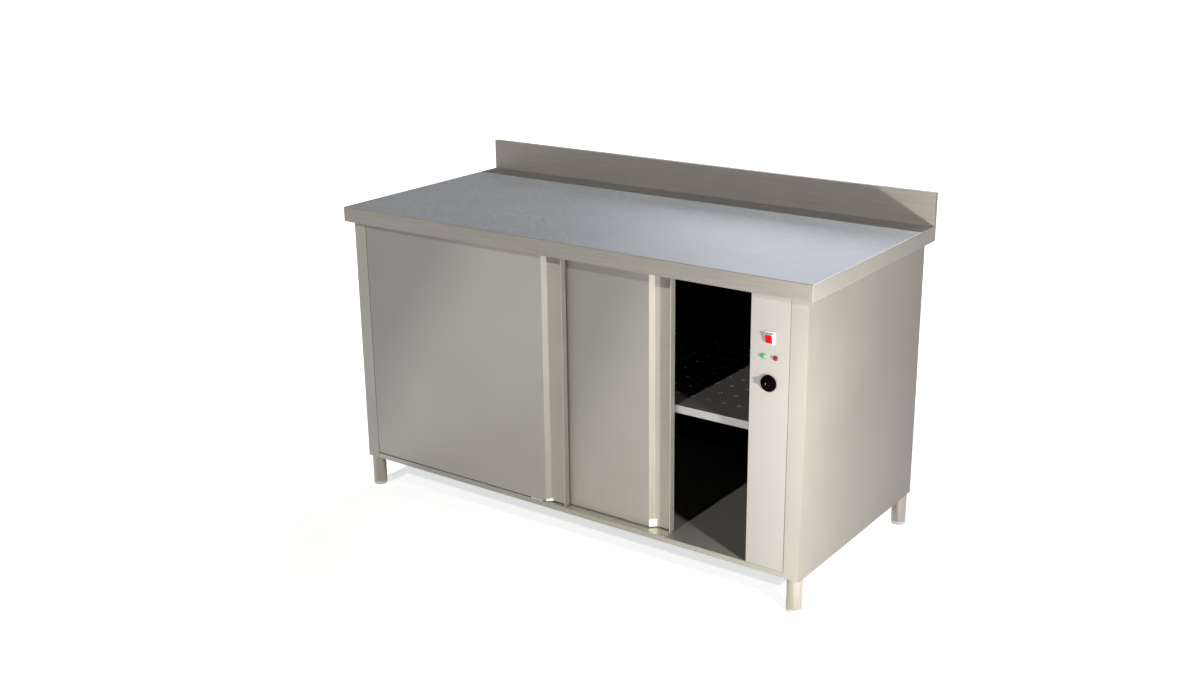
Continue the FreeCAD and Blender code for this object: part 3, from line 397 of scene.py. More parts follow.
def painted_shelf_light_and_shade(material, place):
    """Painted light on the shelf: a dull top and dark hole walls as painted shade, pale rings as painted
    highlights, and paler folded edges.
    """
    sizes = bpy.context.scene.cabinet_sizes
    # Painted highlight on the rings, painted shade on the top and on the holes' walls.
    pale, dull, painted_wall_shade = 1.85, 0.38, 0.3
    low, high = node_box("shelf")
    first_x = (low.x + high.x - (sizes.hole_columns - 1) * sizes.hole_pitch_x) / 2
    pitch = (sizes.hole_pitch_x, sizes.hole_pitch_y)
    point = place
    # Counted in holes and held half a pitch past the outer ones, so that no rim is drawn beyond them.
    for operation, values in (
            ("SUBTRACT", {1: (first_x, low.y + sizes.hole_margin, 0)}),
            ("DIVIDE", {1: (*pitch, 1)}),
            ("MAXIMUM", {1: (-0.49, -0.49, 0)}),
            ("MINIMUM", {1: (sizes.hole_columns - 0.51, sizes.hole_rows - 0.51, 0)}),
            ("WRAP", {1: (0.5, 0.5, 0.5), 2: (-0.5, -0.5, -0.5)}),
            ("MULTIPLY", {1: (*pitch, 0)})):
        point = add_node(material, "VectorMath", {"operation": operation, **values}, {0: point})
    away = add_node(material, "VectorMath", {"operation": "LENGTH"}, {0: point}).outputs["Value"]
    hole, outer = sizes.hole_radius, sizes.hole_radius + sizes.painted_ring_width
    rim = add_node(material, "MapRange", {"From Min": outer - 0.4 * MM, "From Max": outer + 0.4 * MM,
                                          "To Min": pale, "To Max": dull}, {"Value": away})
    wall = add_node(material, "MapRange", {"From Min": hole + 0.02 * MM, "From Max": hole + 0.1 * MM,
                                           "To Min": painted_wall_shade, "To Max": 1.0}, {"Value": away})
    height = add_node(material, "SeparateXYZ", None, {0: place})
    sheet = add_node(material, "MapRange",
                     {"From Min": high.z - 0.4 * MM, "From Max": high.z - 0.1 * MM, "To Min": 1.0},
                     {"Value": height.outputs["Z"], "To Max": rim})
    return add_node(material, "Math", {"operation": "MULTIPLY"}, {0: sheet, 1: wall})


def painted_slanted_shade(material, place, corner_x):
    """Painted shade on a door: darker to the left of a slanted line through a place at its top."""
    lean, top, dull, full = 0.62, 0.76, 0.74, 1.02
    across = Vector((1, 0, -lean)).normalized()
    line = across.dot(Vector((corner_x, 0, top)))
    slant = add_node(material, "VectorMath", {"operation": "DOT_PRODUCT", 1: across}, {0: place})
    return add_node(material, "MapRange", {"interpolation_type": "SMOOTHSTEP", "From Min": line - 0.16,
                                           "From Max": line + 0.10, "To Min": dull, "To Max": full},
                    {"Value": slant.outputs["Value"]})


def finish_surface(material, surface, colour, tone, noise, roughness, strength, bump_mm):
    """Tints the surface by its tone, and lets the noise roughen it in sheen and in relief."""
    tint = add_node(material, "VectorMath", {"operation": "SCALE", 0: tuple(colour)}, {"Scale": tone})
    dull = add_node(material, "MapRange", around(roughness, 0.05), {"Value": noise})
    relief = add_node(material, "Bump", {"Strength": strength, "Distance": bump_mm * MM}, {"Height": noise})
    for node, socket in ((tint, "Base Color"), (dull, "Roughness"), (relief, "Normal")):
        material.node_tree.links.new(node.outputs[0], surface.inputs[socket])


def brushed_steel(finish, name, colour, grain, line_mm, run_mm, roughness, metallic=0.5,
                  contrast=0.06, bump_mm=0.004, mottle=0.05, painted_shade_corner=None, painted_hole_light=False):
    """Stainless sheet with fine lines from an abrasive belt along one axis, and a faint cloud.

    The painted shade corner is the x at the sheet's top where painted shade makes the upper left darker,
    along a slant.
    Painted hole light adds pale rings round the shelf's holes as painted highlights, with painted shade on
    the top and the holes' walls.
    """
    material, surface = new_material(name, Metallic=metallic)
    place = add_node(material, "TexCoord").outputs["Object"]
    scale = [1000 / line_mm] * 3
    scale["XYZ".index(grain)] = 1000 / run_mm
    stretched = add_node(material, "Mapping", {"Scale": scale}, {0: place})
    lines = add_node(material, "TexNoise", {"Scale": 1.0, "Detail": 3.0, "Roughness": 0.6},
                     {"Vector": stretched})
    cloud = add_node(material, "TexNoise", {"Scale": 3.1, "Detail": 2.0, "Roughness": 0.5},
                     {"Vector": place})
    tone = add_node(material, "MapRange", around(1, contrast), {"Value": lines})
    shades = [add_node(material, "MapRange", around(1, mottle), {"Value": cloud})]
    if painted_shade_corner is not None:
        shades.append(painted_slanted_shade(material, place, painted_shade_corner))
    if painted_hole_light:
        shades.append(painted_shelf_light_and_shade(material, place))
    for shade in shades:
        tone = add_node(material, "Math", {"operation": "MULTIPLY"}, {0: tone, 1: shade})
    finish_surface(material, surface, colour, tone, lines, roughness, 0.35, bump_mm)
    finishes[finish] = material


def grained(finish, name, colour, grain_mm, roughness, contrast=0.08, bump_mm=0.02, **sockets):
    """A moulded, cast, coated or fibrous surface with an even grain.

    A grain finer than 0.8 mm is drawn as coarse as it needs to show.
    """
    material, surface = new_material(name, **sockets)
    place = add_node(material, "TexCoord").outputs["Object"]
    grain = add_node(material, "TexNoise", {"Scale": 1000 / grain_mm, "Detail": 4.0, "Roughness": 0.55},
                     {"Vector": place})
    tone = add_node(material, "MapRange", around(1, contrast), {"Value": grain})
    finish_surface(material, surface, colour, tone, grain, roughness, 0.4, bump_mm)
    finishes[finish] = material


finishes = {}


def make_finishes():
    """Every finish of the cabinet, named for its metal or plastic and how it was made."""
    colours = bpy.context.scene.cabinet_colours
    # Austenitic stainless sheet, belt-brushed along the worktop: cool, satin, long fine lines.
    # Real lines are about 0.1 mm apart. On every sheet they are drawn at 1.2 to 3 mm, to show at all.
    brushed_steel("worktop_steel", "belt_brushed_stainless_worktop", colours.worktop, "X", 1.6, 90, 0.46,
                  contrast=0.11)
    # The deck is ground across once more, with a short fine grain; its darker, cooler tone is painted shade
    # for how the light falls on the top.
    brushed_steel("deck_steel", "cross_ground_stainless_deck", colours.deck, "X", 3.0, 14, 0.50,
                  metallic=0.85, contrast=0.16)
    # The same sheet brushed upright on the casing.
    brushed_steel("casing_steel", "belt_brushed_stainless_casing", colours.casing, "Z", 1.6, 120, 0.50,
                  contrast=0.05)
    # The front stiles are brushed finer, and painted paler than the sides as painted light, though one
    # sheet makes both.
    brushed_steel("stile_steel", "fine_brushed_stainless_stile", colours.stile, "Z", 1.4, 120, 0.52,
                  contrast=0.03)
    # Fine satin sheet with hardly any direction. Each door's upper left corner is painted darker along a
    # slant: painted shade standing in for the reflections across the sheet.
    brushed_steel("door_steel", "satin_stainless_left_door", colours.doors, "Z", 1.4, 60, 0.38,
                  contrast=0.02, mottle=0.03, painted_shade_corner=-0.33)
    brushed_steel("right_door_steel", "satin_stainless_right_door", colours.doors, "Z", 1.4, 60, 0.38,
                  contrast=0.02, mottle=0.03, painted_shade_corner=0.33)
    # The grip channels are brushed across and duller, so the light beside them spreads evenly, and painted
    # a little lighter than the doors as painted light.
    brushed_steel("channel_steel", "cross_brushed_stainless_channel", colours.channels, "X", 1.6, 60,
                  0.62, metallic=0.2, contrast=0.04)
    # Each channel's slanted wall is painted a little darker: painted shade in place of the highlight it
    # would catch.
    brushed_steel("channel_wall_steel", "cross_brushed_stainless_channel_wall", colours.painted_shade_channel_walls,
                  "X", 1.6, 60, 0.62, metallic=0.2, contrast=0.04)
    # The doors' right edges, and the folds that take this finish, are painted duller and darker: painted
    # shade, which also takes the place of the folds' highlights.
    brushed_steel("edge_steel", "hemmed_stainless_edge", colours.painted_shade_edges, "Z", 1.4, 60, 0.6,
                  metallic=0.3, contrast=0.03)
    # The doors' inner sheets, a little duller than their faces.
    brushed_steel("door_liner_steel", "satin_stainless_door_liner", colours.doors, "Z", 1.4, 60, 0.42,
                  contrast=0.03)
    # The panel is satin sheet with hardly a line, so that the controls stand out on it.
    brushed_steel("panel_steel", "satin_stainless_panel", colours.panel, "X", 1.4, 60, 0.50,
                  contrast=0.015, mottle=0.02)
    # Bright rolled sheet: glossier, so that it mirrors what stands on it.
    brushed_steel("floor_steel", "rolled_stainless_floor", colours.floor, "X", 1.6, 80, 0.24,
                  metallic=0.6, contrast=0.02, bump_mm=0.001)
    # Behind the rail, and on its top right of the opening, the same sheet is duller and painted darker:
    # painted shade.
    brushed_steel("floor_inside_steel", "dull_stainless_floor_inside", colours.floor_inside, "X", 1.6, 80,
                  0.34, contrast=0.02, bump_mm=0.001)
    # The shelf gets painted highlights as pale rings round its holes, which show as dots, and painted shade
    # on its top and the holes' walls.
    brushed_steel("shelf_steel", "satin_stainless_shelf", colours.shelf, "X", 1.8, 70, 0.38,
                  contrast=0.05, painted_hole_light=True)
    # Matt sheet that lines the chamber, painted near black as painted shade.
    brushed_steel("liner_steel", "oxidised_stainless_liner", colours.liner, "Z", 2.0, 80, 0.55,
                  contrast=0.1)
    # Hot-dip zinc on steel: bluish, with faint crystals.
    grained("galvanised_steel", "zinc_coated_steel", colours.zinc, 6, 0.45, 0.1, 0.01, Metallic=0.8)
    # Polished tube: brighter than the sheets, with short upright lines.
    brushed_steel("leg_steel", "polished_stainless_tube", colours.leg, "Z", 1.2, 40, 0.30, metallic=0.75,
                  contrast=0.04)
    # Bright small screw heads with a fine die grain.
    grained("screw_steel", "cold_headed_stainless_screw", paint("#C4C4C0"), 1.0, 0.3, 0.05, 0.005,
            Metallic=1.0)
    # Nickel steel sheath, browned by heat.
    grained("element_steel", "heat_browned_element_sheath", paint("#5A4A3E"), 3, 0.5, 0.15, 0.02,
            Metallic=0.9)
    # Pressed wood chips: mottled brown, and matt.
    grained("particle_board", "pressed_particle_board", paint("#B08F63"), 5, 0.85, 0.3, 0.1)
    # Bonded mineral fibres: dull straw yellow, and rough all over.
    grained("mineral_wool", "bonded_mineral_wool", paint("#B5A56A"), 3, 0.95, 0.25, 0.4)
    # Matt black stops with a slight bloom.
    grained("black_rubber", "moulded_black_rubber", paint("#161616"), 1.0, 0.75, 0.1, 0.03)
    # Moulded nylon: waxy white with a soft sheen.
    grained("white_nylon", "moulded_white_nylon", colours.nylon, 2.0, 0.35, 0.02, 0.01)
    # The switch's moulded white, a little warmer and less clean than the nylon.
    grained("white_plastic", "moulded_white_polycarbonate", paint("#D0CAC3"), 1.5, 0.38, 0.02, 0.006)
    # Clear red lens over a bright insert: strong, even colour.
    grained("red_plastic", "moulded_red_rocker_lens", colours.rocker, 1.5, 0.3, 0.03, 0.004,
            Specular_IOR_Level=0.2)
    # Clear green lens with a hard highlight.
    grained("green_plastic", "moulded_green_lamp_lens", colours.green_lamp, 1.5, 0.32, 0.05, 0.004,
            Specular_IOR_Level=0.9)
    # Dark red lens, glossy and deep while its lamp is off.
    grained("dark_red_plastic", "moulded_dark_red_lamp_lens", colours.red_lamp, 1.5, 0.2, 0.05, 0.004)
    # Glass-filled black plastic with a fine spark-eroded grain.
    grained("black_plastic", "moulded_black_phenolic", colours.knob, 0.8, 0.55, 0.15, 0.01,
            Specular_IOR_Level=0.02)
    # Dark grey gland with a fine moulded grain.
    grained("grey_plastic", "moulded_grey_polyamide", paint("#5C6064"), 0.8, 0.5, 0.08, 0.02)
    # Pale grey feet with a soft sheen.
    grained("foot_plastic", "moulded_light_grey_polypropylene", colours.foot, 1.2, 0.42, 0.03, 0.015)
    # Bright drawn copper of the thermostat's thin tube.
    grained("copper", "drawn_copper_capillary", paint("#B9704A"), 2.0, 0.3, 0.08, 0.004, Metallic=1.0)
    # Baked black paint, half matt.
    grained("motor_paint", "baked_black_motor_paint", paint("#1C1D1F"), 1.2, 0.5, 0.1, 0.02)
    # Pale pressed blades of the fan.
    grained("aluminium_sheet", "pressed_aluminium_sheet", paint("#C9CBCC"), 2.0, 0.38, 0.05, 0.01,
            Metallic=1.0)
    # Matt dark sleeve with a woven grain, drawn coarser than real threads.
    grained("cable_sleeve", "braided_glass_sleeve", paint("#2A2A2A"), 1.5, 0.8, 0.2, 0.15)


# Sizes read from the frame

def node_box(name):
    low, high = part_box(name)
    return Vector(low), Vector(high)


def centre_of(name, y=None):
    """The middle of a node's box, or the place in front of or behind it at a given y."""
    low, high = node_box(name)
    middle = (low + high) / 2
    if y is not None:
        middle.y = y
    return middle


def screw_places():
    """Where the screws enter the left return of the control panel, read from their node's points."""
    heights = sorted({round(vertex.co.z / MM)
                      for vertex in frame["nodes"]["control_panel_screws"].data.vertices})
    least_gap_mm = 20
    screws = [[heights[0]]]
    for height in heights[1:]:
        if height - screws[-1][-1] > least_gap_mm:
            screws.append([])
        screws[-1].append(height)
    left, depth = node_box("control_panel")[0].x, centre_of("control_panel_screws").y
    return [Vector((left, depth, (screw[0] + screw[-1]) / 2 * MM)) for screw in screws]


class CABINET_OT_finishes(Operator):
    """Gives every node of the fixed frame the finish of its real metal, plastic or fibre"""
    bl_idname = "cabinet.finishes"
    bl_label = "Finishes"

    def execute(self, context):
        make_finishes()
        for part in frame["record"]["subparts"]:
            node = frame["nodes"][part["node"]]
            node.data.materials.clear()
            node.data.materials.append(finishes[part["material_slot"]])
        return {"FINISHED"}


class CABINET_OT_worktop(Operator):
    """Folds the worktop's deck, edges, upstand and underside lips from one sheet"""
    bl_idname = "cabinet.worktop"
    bl_label = "Worktop"

    def execute(self, context):
        sizes = context.scene.cabinet_sizes
        low, high = node_box("worktop_skin")
        core = node_box("worktop_core")[1]
        deck = core.z + sizes.worktop_sheet
        turn_up = core.y + sizes.assembly_gap
        piece = new_block("worktop", low, (high.x, high.y, deck))
        start_edit(piece)
        bisect((0, turn_up, 0), BACK)
        # The upstand rises behind the deck, and the underside opens within its lips.
        pick(piece, "faces", lambda middle, normal: looks(normal, UP) and middle.y > turn_up)
        extrude((0, 0, high.z - deck))
        pick(piece, "faces", lambda middle, normal: looks(normal, DOWN))
        bpy.ops.mesh.inset(thickness=sizes.worktop_lip, depth=0)
        bpy.ops.mesh.delete(type="FACE")

        def folded(middle, direction):
            at_side = near(abs(middle.x), high.x)
            at_end = near(abs(middle.y), high.y)
            corner = at_side and at_end and runs(direction, UP)
            deck_edge = near(middle.z, deck) and (near(middle.y, low.y) or at_side and middle.y < turn_up)
            cove = near(middle.z, deck) and near(middle.y, turn_up)
            hem = near(middle.z, low.z) and (at_side or at_end)
            return corner or deck_edge or cove or hem or near(middle.z, high.z)

        bevel_edges(piece, folded, sizes.worktop_radius, 4)
        end_edit()
        thicken(piece, sizes.worktop_sheet)
        finish_piece(piece, "worktop_steel", "worktop_skin")
        # The deck takes its own finish, its darker tone partly painted shade on the top.
        face_finish(piece, "deck_steel", lambda middle, normal: (
            looks(normal, UP) and near(middle.z, deck, MM) and middle.y < turn_up))
        # The upright front corners are painted darker: painted shade in place of their glint.
        face_finish(piece, "edge_steel", lambda middle, normal: (
            on_front_fold(normal) and abs(normal.z) < 0.3))
        return {"FINISHED"}


class CABINET_OT_side_skins(Operator):
    """Folds each side's sheet round its front stile, its jamb, its rear edge and its top"""
    bl_idname = "cabinet.side_skins"
    bl_label = "Side skins"

    def fold(self, sizes, name, side, jamb):
        low, high = node_box(name)
        outer_x, inner_x = (high.x, low.x) if side > 0 else (low.x, high.x)
        trim_x = outer_x - side * sizes.side_return
        floor = node_box("chamber_floor")[1].z
        piece = new_block(name.replace("_skin", "_sheet"), low, high)
        start_edit(piece)
        bisect((trim_x, 0, 0), RIGHT)
        bisect((0, 0, floor), UP)
        delete_faces(piece, lambda middle, normal: (
            near(middle.x, inner_x) and runs(normal, RIGHT) or looks(normal, DOWN)
            or side * (middle.x - trim_x) < 0 and (looks(normal, UP) or looks(normal, BACK))))
        # The jamb turns back from the stile's inner edge.
        pick(piece, "edges", lambda middle, direction: (
            near(middle.x, inner_x) and near(middle.y, low.y) and middle.z > floor
            and runs(direction, UP)))
        extrude((0, jamb, 0))
        turn_outwards()
        bevel_edges(piece, lambda middle, direction: (
            runs(direction, UP) and near(middle.x, outer_x) and near(abs(middle.y), high.y)
            or runs(direction, UP) and near(middle.x, inner_x) and near(middle.y, low.y)
            and middle.z > floor
            or runs(direction, BACK) and near(middle.x, outer_x) and near(middle.z, high.z)),
            sizes.fold_radius)
        end_edit()
        thicken(piece, sizes.casing_sheet)
        finish_piece(piece, "casing_steel", name)
        # The sheet's front faces take a paler copy of its steel: painted light.
        face_finish(piece, "stile_steel", lambda middle, normal: normal.y < -0.7)
        # The upright front folds are painted darker: painted shade in place of their highlight.
        face_finish(piece, "edge_steel", lambda middle, normal: on_front_fold(normal))

    def execute(self, context):
        sizes = context.scene.cabinet_sizes
        self.fold(sizes, "side_skin_left", -1, sizes.left_jamb)
        self.fold(sizes, "side_skin_right", 1, sizes.panel_return)
        return {"FINISHED"}


class CABINET_OT_floor_sheet(Operator):
    """Folds the chamber floor's sheet down at the front, where it shows as the bottom rail"""
    bl_idname = "cabinet.floor_sheet"
    bl_label = "Floor and bottom rail"

    def execute(self, context):
        sizes = context.scene.cabinet_sizes
        low, high = node_box("chamber_floor")
        rail_left = node_box("side_skin_left")[1].x + sizes.seam
        rail_right = node_box("control_panel")[1].x
        sheet_front = low.y + sizes.casing_sheet + sizes.assembly_gap
        piece = new_block("floor_sheet", (low.x, sheet_front, low.z), high)
        start_edit(piece)
        delete_faces(piece, lambda middle, normal: not looks(normal, UP))
        opening = node_box("right_door_skin")[1].x
        for place in (rail_left, opening, rail_right):
            bisect((place, 0, 0), RIGHT)
        behind_doors = node_box("right_door_skin")[1].y
        bisect((0, behind_doors, 0), BACK)
        pick(piece, "edges", lambda middle, direction: (
            near(middle.y, sheet_front) and rail_left < middle.x < rail_right))
        extrude((0, low.y - sheet_front, 0))
        extrude((0, 0, low.z - high.z))
        turn_outwards()
        bevel_edges(piece, lambda middle, direction: near(middle.y, low.y) and near(middle.z, high.z),
                    sizes.fold_radius)
        end_edit()
        thicken(piece, sizes.casing_sheet)
        finish_piece(piece, "floor_steel", "chamber_floor")
        # The floor behind the doors and right of the opening is painted darker: painted shade.
        face_finish(piece, "floor_inside_steel", lambda middle, normal: (
            looks(normal, UP) and (middle.y > behind_doors or middle.x > opening)))
        return {"FINISHED"}


class CABINET_OT_doors(Operator):
    """Folds each door's sheet with its grip channel along the right edge"""
    bl_idname = "cabinet.doors"
    bl_label = "Sliding doors"

    def fold(self, sizes, door, finish):
        low, high = node_box(door + "_skin")
        start = high.x - sizes.channel_width
        wall_end = start + sizes.channel_slant
        lip = high.x - sizes.channel_lip
        bottom = low.y + sizes.channel_depth
        # The outline with its channel is cut from the bottom face, and then raised to the door's height.
        piece = new_block(door + "_sheet", low, (high.x, high.y, low.z + MM))
        start_edit(piece)
        delete_faces(piece, lambda middle, normal: not looks(normal, DOWN))
        for place in (start, wall_end, lip):
            bisect((place, 0, 0), RIGHT)
        bisect((0, bottom, 0), BACK)
        delete_faces(piece, lambda middle, normal: wall_end < middle.x < lip and middle.y < bottom)
        pick(piece, "verts", lambda place, normal: near(place.x, wall_end) and near(place.y, low.y))
        bpy.ops.transform.translate(value=(start - wall_end, 0, 0))
        select_mesh()
        bpy.ops.mesh.remove_doubles(threshold=0.01 * MM)
        bpy.ops.mesh.dissolve_limited(angle_limit=0.02)
        select_mesh()
        extrude((0, 0, high.z - low.z))
        turn_outwards()
        delete_faces(piece, lambda middle, normal: looks(normal, BACK) and near(middle.y, high.y))
        end_edit()
        apply_modifier(piece, "BEVEL", width=sizes.door_fold, segments=3, limit_method="ANGLE",
                       angle_limit=math.radians(20), miter_outer="MITER_ARC")
        thicken(piece, sizes.door_sheet)
        middle_y = (low.y + high.y) / 2
        groove_end, edge_start = start - 3 * MM, high.x - 1.5 * MM
        combine(piece, new_block("groove", (low.x - MM, middle_y - sizes.groove_width / 2, low.z - MM),
                                 (groove_end, middle_y + sizes.groove_width / 2,
                                  low.z + sizes.groove_height)))
        finish_piece(piece, finish, door + "_skin", door)
        # The channel is painted lighter and its slanted wall darker: painted light and shade.
        face_finish(piece, "channel_steel", lambda middle, normal: middle.x > start + SLACK)
        face_finish(piece, "channel_wall_steel", lambda middle, normal: (
            start + SLACK < middle.x < wall_end and normal.x > 0.2))
        # The door's right edge is painted darker: painted shade.
        face_finish(piece, "edge_steel", lambda middle, normal: middle.x > edge_start and normal.x > 0.3)

    def execute(self, context):
        sizes = context.scene.cabinet_sizes
        self.fold(sizes, "left_door", "door_steel")
        self.fold(sizes, "right_door", "right_door_steel")
        return {"FINISHED"}


class CABINET_OT_control_panel(Operator):
    """Folds the control panel and opens it for the switch, the lamps and the thermostat"""
    bl_idname = "cabinet.control_panel"
    bl_label = "Control panel"

    def execute(self, context):
        sizes = context.scene.cabinet_sizes
        low, high = node_box("control_panel")
        piece = new_block("control_panel_sheet", low, high)
        start_edit(piece)
        fold_end = low.y + sizes.panel_return
        bisect((0, fold_end, 0), BACK)
        delete_faces(piece, lambda middle, normal: (
            runs(normal, UP) or looks(normal, BACK) or looks(normal, RIGHT) and middle.y > fold_end))
        bevel_edges(piece, lambda middle, direction: near(middle.y, low.y) and runs(direction, UP),
                    sizes.fold_radius)
        end_edit()
        thicken(piece, sizes.casing_sheet)
        lamp_hole, shaft_hole, screw_hole, reach = 4.65 * MM, 5.7 * MM, 2.1 * MM, 5 * MM
        front, behind = low.y - reach, low.y + reach
        for node, radius in (("lamp_green", lamp_hole), ("lamp_red", lamp_hole),
                             ("thermostat_knob", shaft_hole)):
            drill(piece, radius, centre_of(node, front), centre_of(node, behind))
        switch_low, switch_high = node_box("switch_body")
        rim = sizes.bezel_width - sizes.switch_wall - sizes.seam
        combine(piece, new_block("switch_hole", (switch_low.x + rim, front, switch_low.z + rim),
                                 (switch_high.x - rim, behind, switch_high.z - rim)))
        for place in screw_places():
            drill(piece, screw_hole, place - RIGHT * reach, place + RIGHT * reach)
        finish_piece(piece, "panel_steel", "control_panel")
        # The panel's right front bevel is painted darker: painted shade in place of its highlight.
        face_finish(piece, "edge_steel", lambda middle, normal: (
            0.2 < normal.x < 0.98 and normal.y < -0.1))
        return {"FINISHED"}


class CABINET_OT_panel_screws(Operator):
    """Turns the pan-head screws of the control panel and cuts their cross recesses"""
    bl_idname = "cabinet.panel_screws"
    bl_label = "Panel screws"

    def execute(self, context):
        places = screw_places()
        profile = [(0, 8), (1.4, 8), (1.8, 7.4), (1.8, 0), (3.75, 0), (3.75, -0.7), (3.4, -1.4),
                   (2.4, -1.9), (0, -2)]
        screw = new_turned("panel_screws", profile, places[0], RIGHT, 32)
        for half_y, half_z in ((0.35, 1.9), (1.9, 0.35)):
            arm = Vector((0, half_y, half_z)) * MM
            combine(screw, new_block("recess", places[0] - arm - RIGHT * 3 * MM,
                                     places[0] + arm - RIGHT * MM))
        pieces = [screw]
        for place in places[1:]:
            make_active(screw)
            bpy.ops.object.duplicate()
            copy = context.object
            copy.data.transform(Matrix.Translation(place - places[0]))
            pieces.append(copy)
        finish_piece(join_pieces(pieces), "screw_steel", "control_panel_screws", smooth=30)
        return {"FINISHED"}


class CABINET_OT_rocker_switch(Operator):
    """Moulds the switch's bezel and housing, its rocker and the rocker's red lens"""
    bl_idname = "cabinet.rocker_switch"
    bl_label = "Rocker switch"

    def round_front(self, piece, front, corner, corner_steps, rim, rim_steps):
        """Rounds the edges that run back, then the edges of the front."""
        bevel_edges(piece, lambda middle, direction: runs(direction, BACK), corner, corner_steps)
        bevel_edges(piece, lambda middle, direction: near(middle.y, front) and abs(direction.y) < 0.1,
                    rim, rim_steps)

    def housing(self, sizes, panel_front, pivot):
        low, high = node_box("switch_body")
        piece = new_block("switch_housing", low, (high.x, panel_front, high.z))
        start_edit(piece)
        self.round_front(piece, low.y, 3 * MM, 5, 0.7 * MM, 2)
        pick(piece, "faces", lambda middle, normal: looks(normal, BACK))
        bpy.ops.mesh.inset(thickness=sizes.bezel_width - sizes.switch_wall, depth=0)
        extrude((0, high.y - panel_front, 0))
        end_edit()
        rim, back_wall, pin_hole, pin_depth = sizes.bezel_width, 3 * MM, 1.56 * MM, 1.3 * MM
        combine(piece, new_block("pocket", (low.x + rim, low.y - MM, low.z + rim),
                                 (high.x - rim, high.y - back_wall, high.z - rim)))
        reach = RIGHT * (high.x - pivot.x - rim + pin_depth)
        drill(piece, pin_hole, pivot - reach, pivot + reach)
        finish_piece(piece, "white_plastic", "switch_body")

    def tilt(self, piece, pivot):
        """Turns a piece about the pivot so that its top stands out, as it does at rest."""
        rest_angle = -10
        start_edit(piece)
        select_mesh()
        bpy.ops.transform.rotate(value=math.radians(rest_angle), orient_axis="X",
                                 orient_type="GLOBAL", center_override=pivot)
        end_edit()
        top = max(piece.data.vertices, key=lambda vertex: vertex.co.z).co
        front = min(piece.data.vertices, key=lambda vertex: vertex.co.y).co
        if front.z < pivot.z or top.z < pivot.z:
            raise RuntimeError(piece.name + " is tilted the wrong way")

    def execute(self, context):
        sizes = context.scene.cabinet_sizes
        panel_front = node_box("control_panel")[0].y
        pivot = centre_of("switch_body", panel_front + 3 * MM)
        self.housing(sizes, panel_front, pivot)

        lens_back, lens_front = FRONT * 9.8 * MM, FRONT * 11 * MM
        half = Vector((9.5, 0, 11)) * MM
        rocker = new_block("switch_rocker_arm", pivot - half + lens_back, pivot + half)
        start_edit(rocker)
        bevel_edges(rocker, lambda middle, direction: runs(direction, BACK), 0.8 * MM, 3)
        end_edit()
        # A drum behind the rocker's face and the pin that it turns on: radius, and reach to each side.
        for radius, reach in ((8 * MM, 9.5 * MM), (1.5 * MM, 11.1 * MM)):
            deselect_all()
            bpy.ops.mesh.primitive_cylinder_add(vertices=48, radius=radius, depth=2 * reach,
                                                location=pivot, rotation=(0, math.pi / 2, 0))
            combine(rocker, context.object, "UNION")
        self.tilt(rocker, pivot)
        finish_piece(rocker, "white_plastic", "switch_rocker", "switch_rocker")

        half = Vector((9.1, 0, 10.6)) * MM
        lens = new_block("switch_red_lens", pivot - half + lens_front, pivot + half + lens_back)
        start_edit(lens)
        self.round_front(lens, pivot.y + lens_front.y, 1.0 * MM, 4, 0.4 * MM, 3)
        end_edit()
        self.tilt(lens, pivot)
        finish_piece(lens, "red_plastic", "switch_lens", "switch_rocker")
        return {"FINISHED"}


class CABINET_OT_pilot_lamps(Operator):
    """Turns the two pilot lamps, each a flanged body with a domed lens"""
    bl_idname = "cabinet.pilot_lamps"
    bl_label = "Pilot lamps"

    def execute(self, context):
        profile = [(0, 22), (4.2, 22), (4.5, 21.6), (4.5, 0), (6.4, 0), (6.4, -1.0), (6.0, -1.5),
                   (5.5, -1.5), (5.4, -1.8), (5.3, -3.9), (4.8, -4.9), (3.7, -5.6), (2.0, -5.93), (0, -6.0)]
        panel_front = node_box("control_panel")[0].y
        for node, finish in (("lamp_green", "green_plastic"), ("lamp_red", "dark_red_plastic")):
            lamp = new_turned(node + "_lens", profile, centre_of(node, panel_front), BACK, 48)
            finish_piece(lamp, finish, node, smooth=35)
        return {"FINISHED"}


class CABINET_OT_thermostat_knob(Operator):
    """Turns the thermostat's knob, a round grip on a wide low skirt"""
    bl_idname = "cabinet.thermostat_knob"
    bl_label = "Thermostat knob"

    def execute(self, context):
        sizes = context.scene.cabinet_sizes
        place = centre_of("thermostat_knob", node_box("thermostat_knob")[1].y)
        profile = [(0, -11.9), (2.2, -12), (3.02, -11.6), (3.02, 0), (20.4, 0), (21, -0.6), (21, -3.8),
                   (20.7, -4.5), (20.0, -4.95), (19.0, -5.0), (10.4, -5.0), (9.8, -5.3), (9.5, -6.0),
                   (9.1, -15.6), (8.7, -16.4), (7.9, -16.9), (6.9, -17.0), (0, -17.0)]
        knob = new_turned("thermostat_knob_grip", profile, place, BACK, sizes.round_steps)
        end = place.y + profile[-1][1] * MM
        groove_half, groove_depth, groove_start, groove_end = 0.7 * MM, 0.4 * MM, 0.5 * MM, 5.5 * MM
        combine(knob, new_block("pointer_groove", (place.x - groove_half, end - MM, place.z + groove_start),
                                (place.x + groove_half, end + groove_depth, place.z + groove_end)))
        finish_piece(knob, "black_plastic", "thermostat_knob", "thermostat_knob", smooth=35)
        face_finish(knob, "white_plastic", lambda middle, normal: (
            looks(normal, FRONT) and near(middle.y, end + groove_depth)))
        return {"FINISHED"}


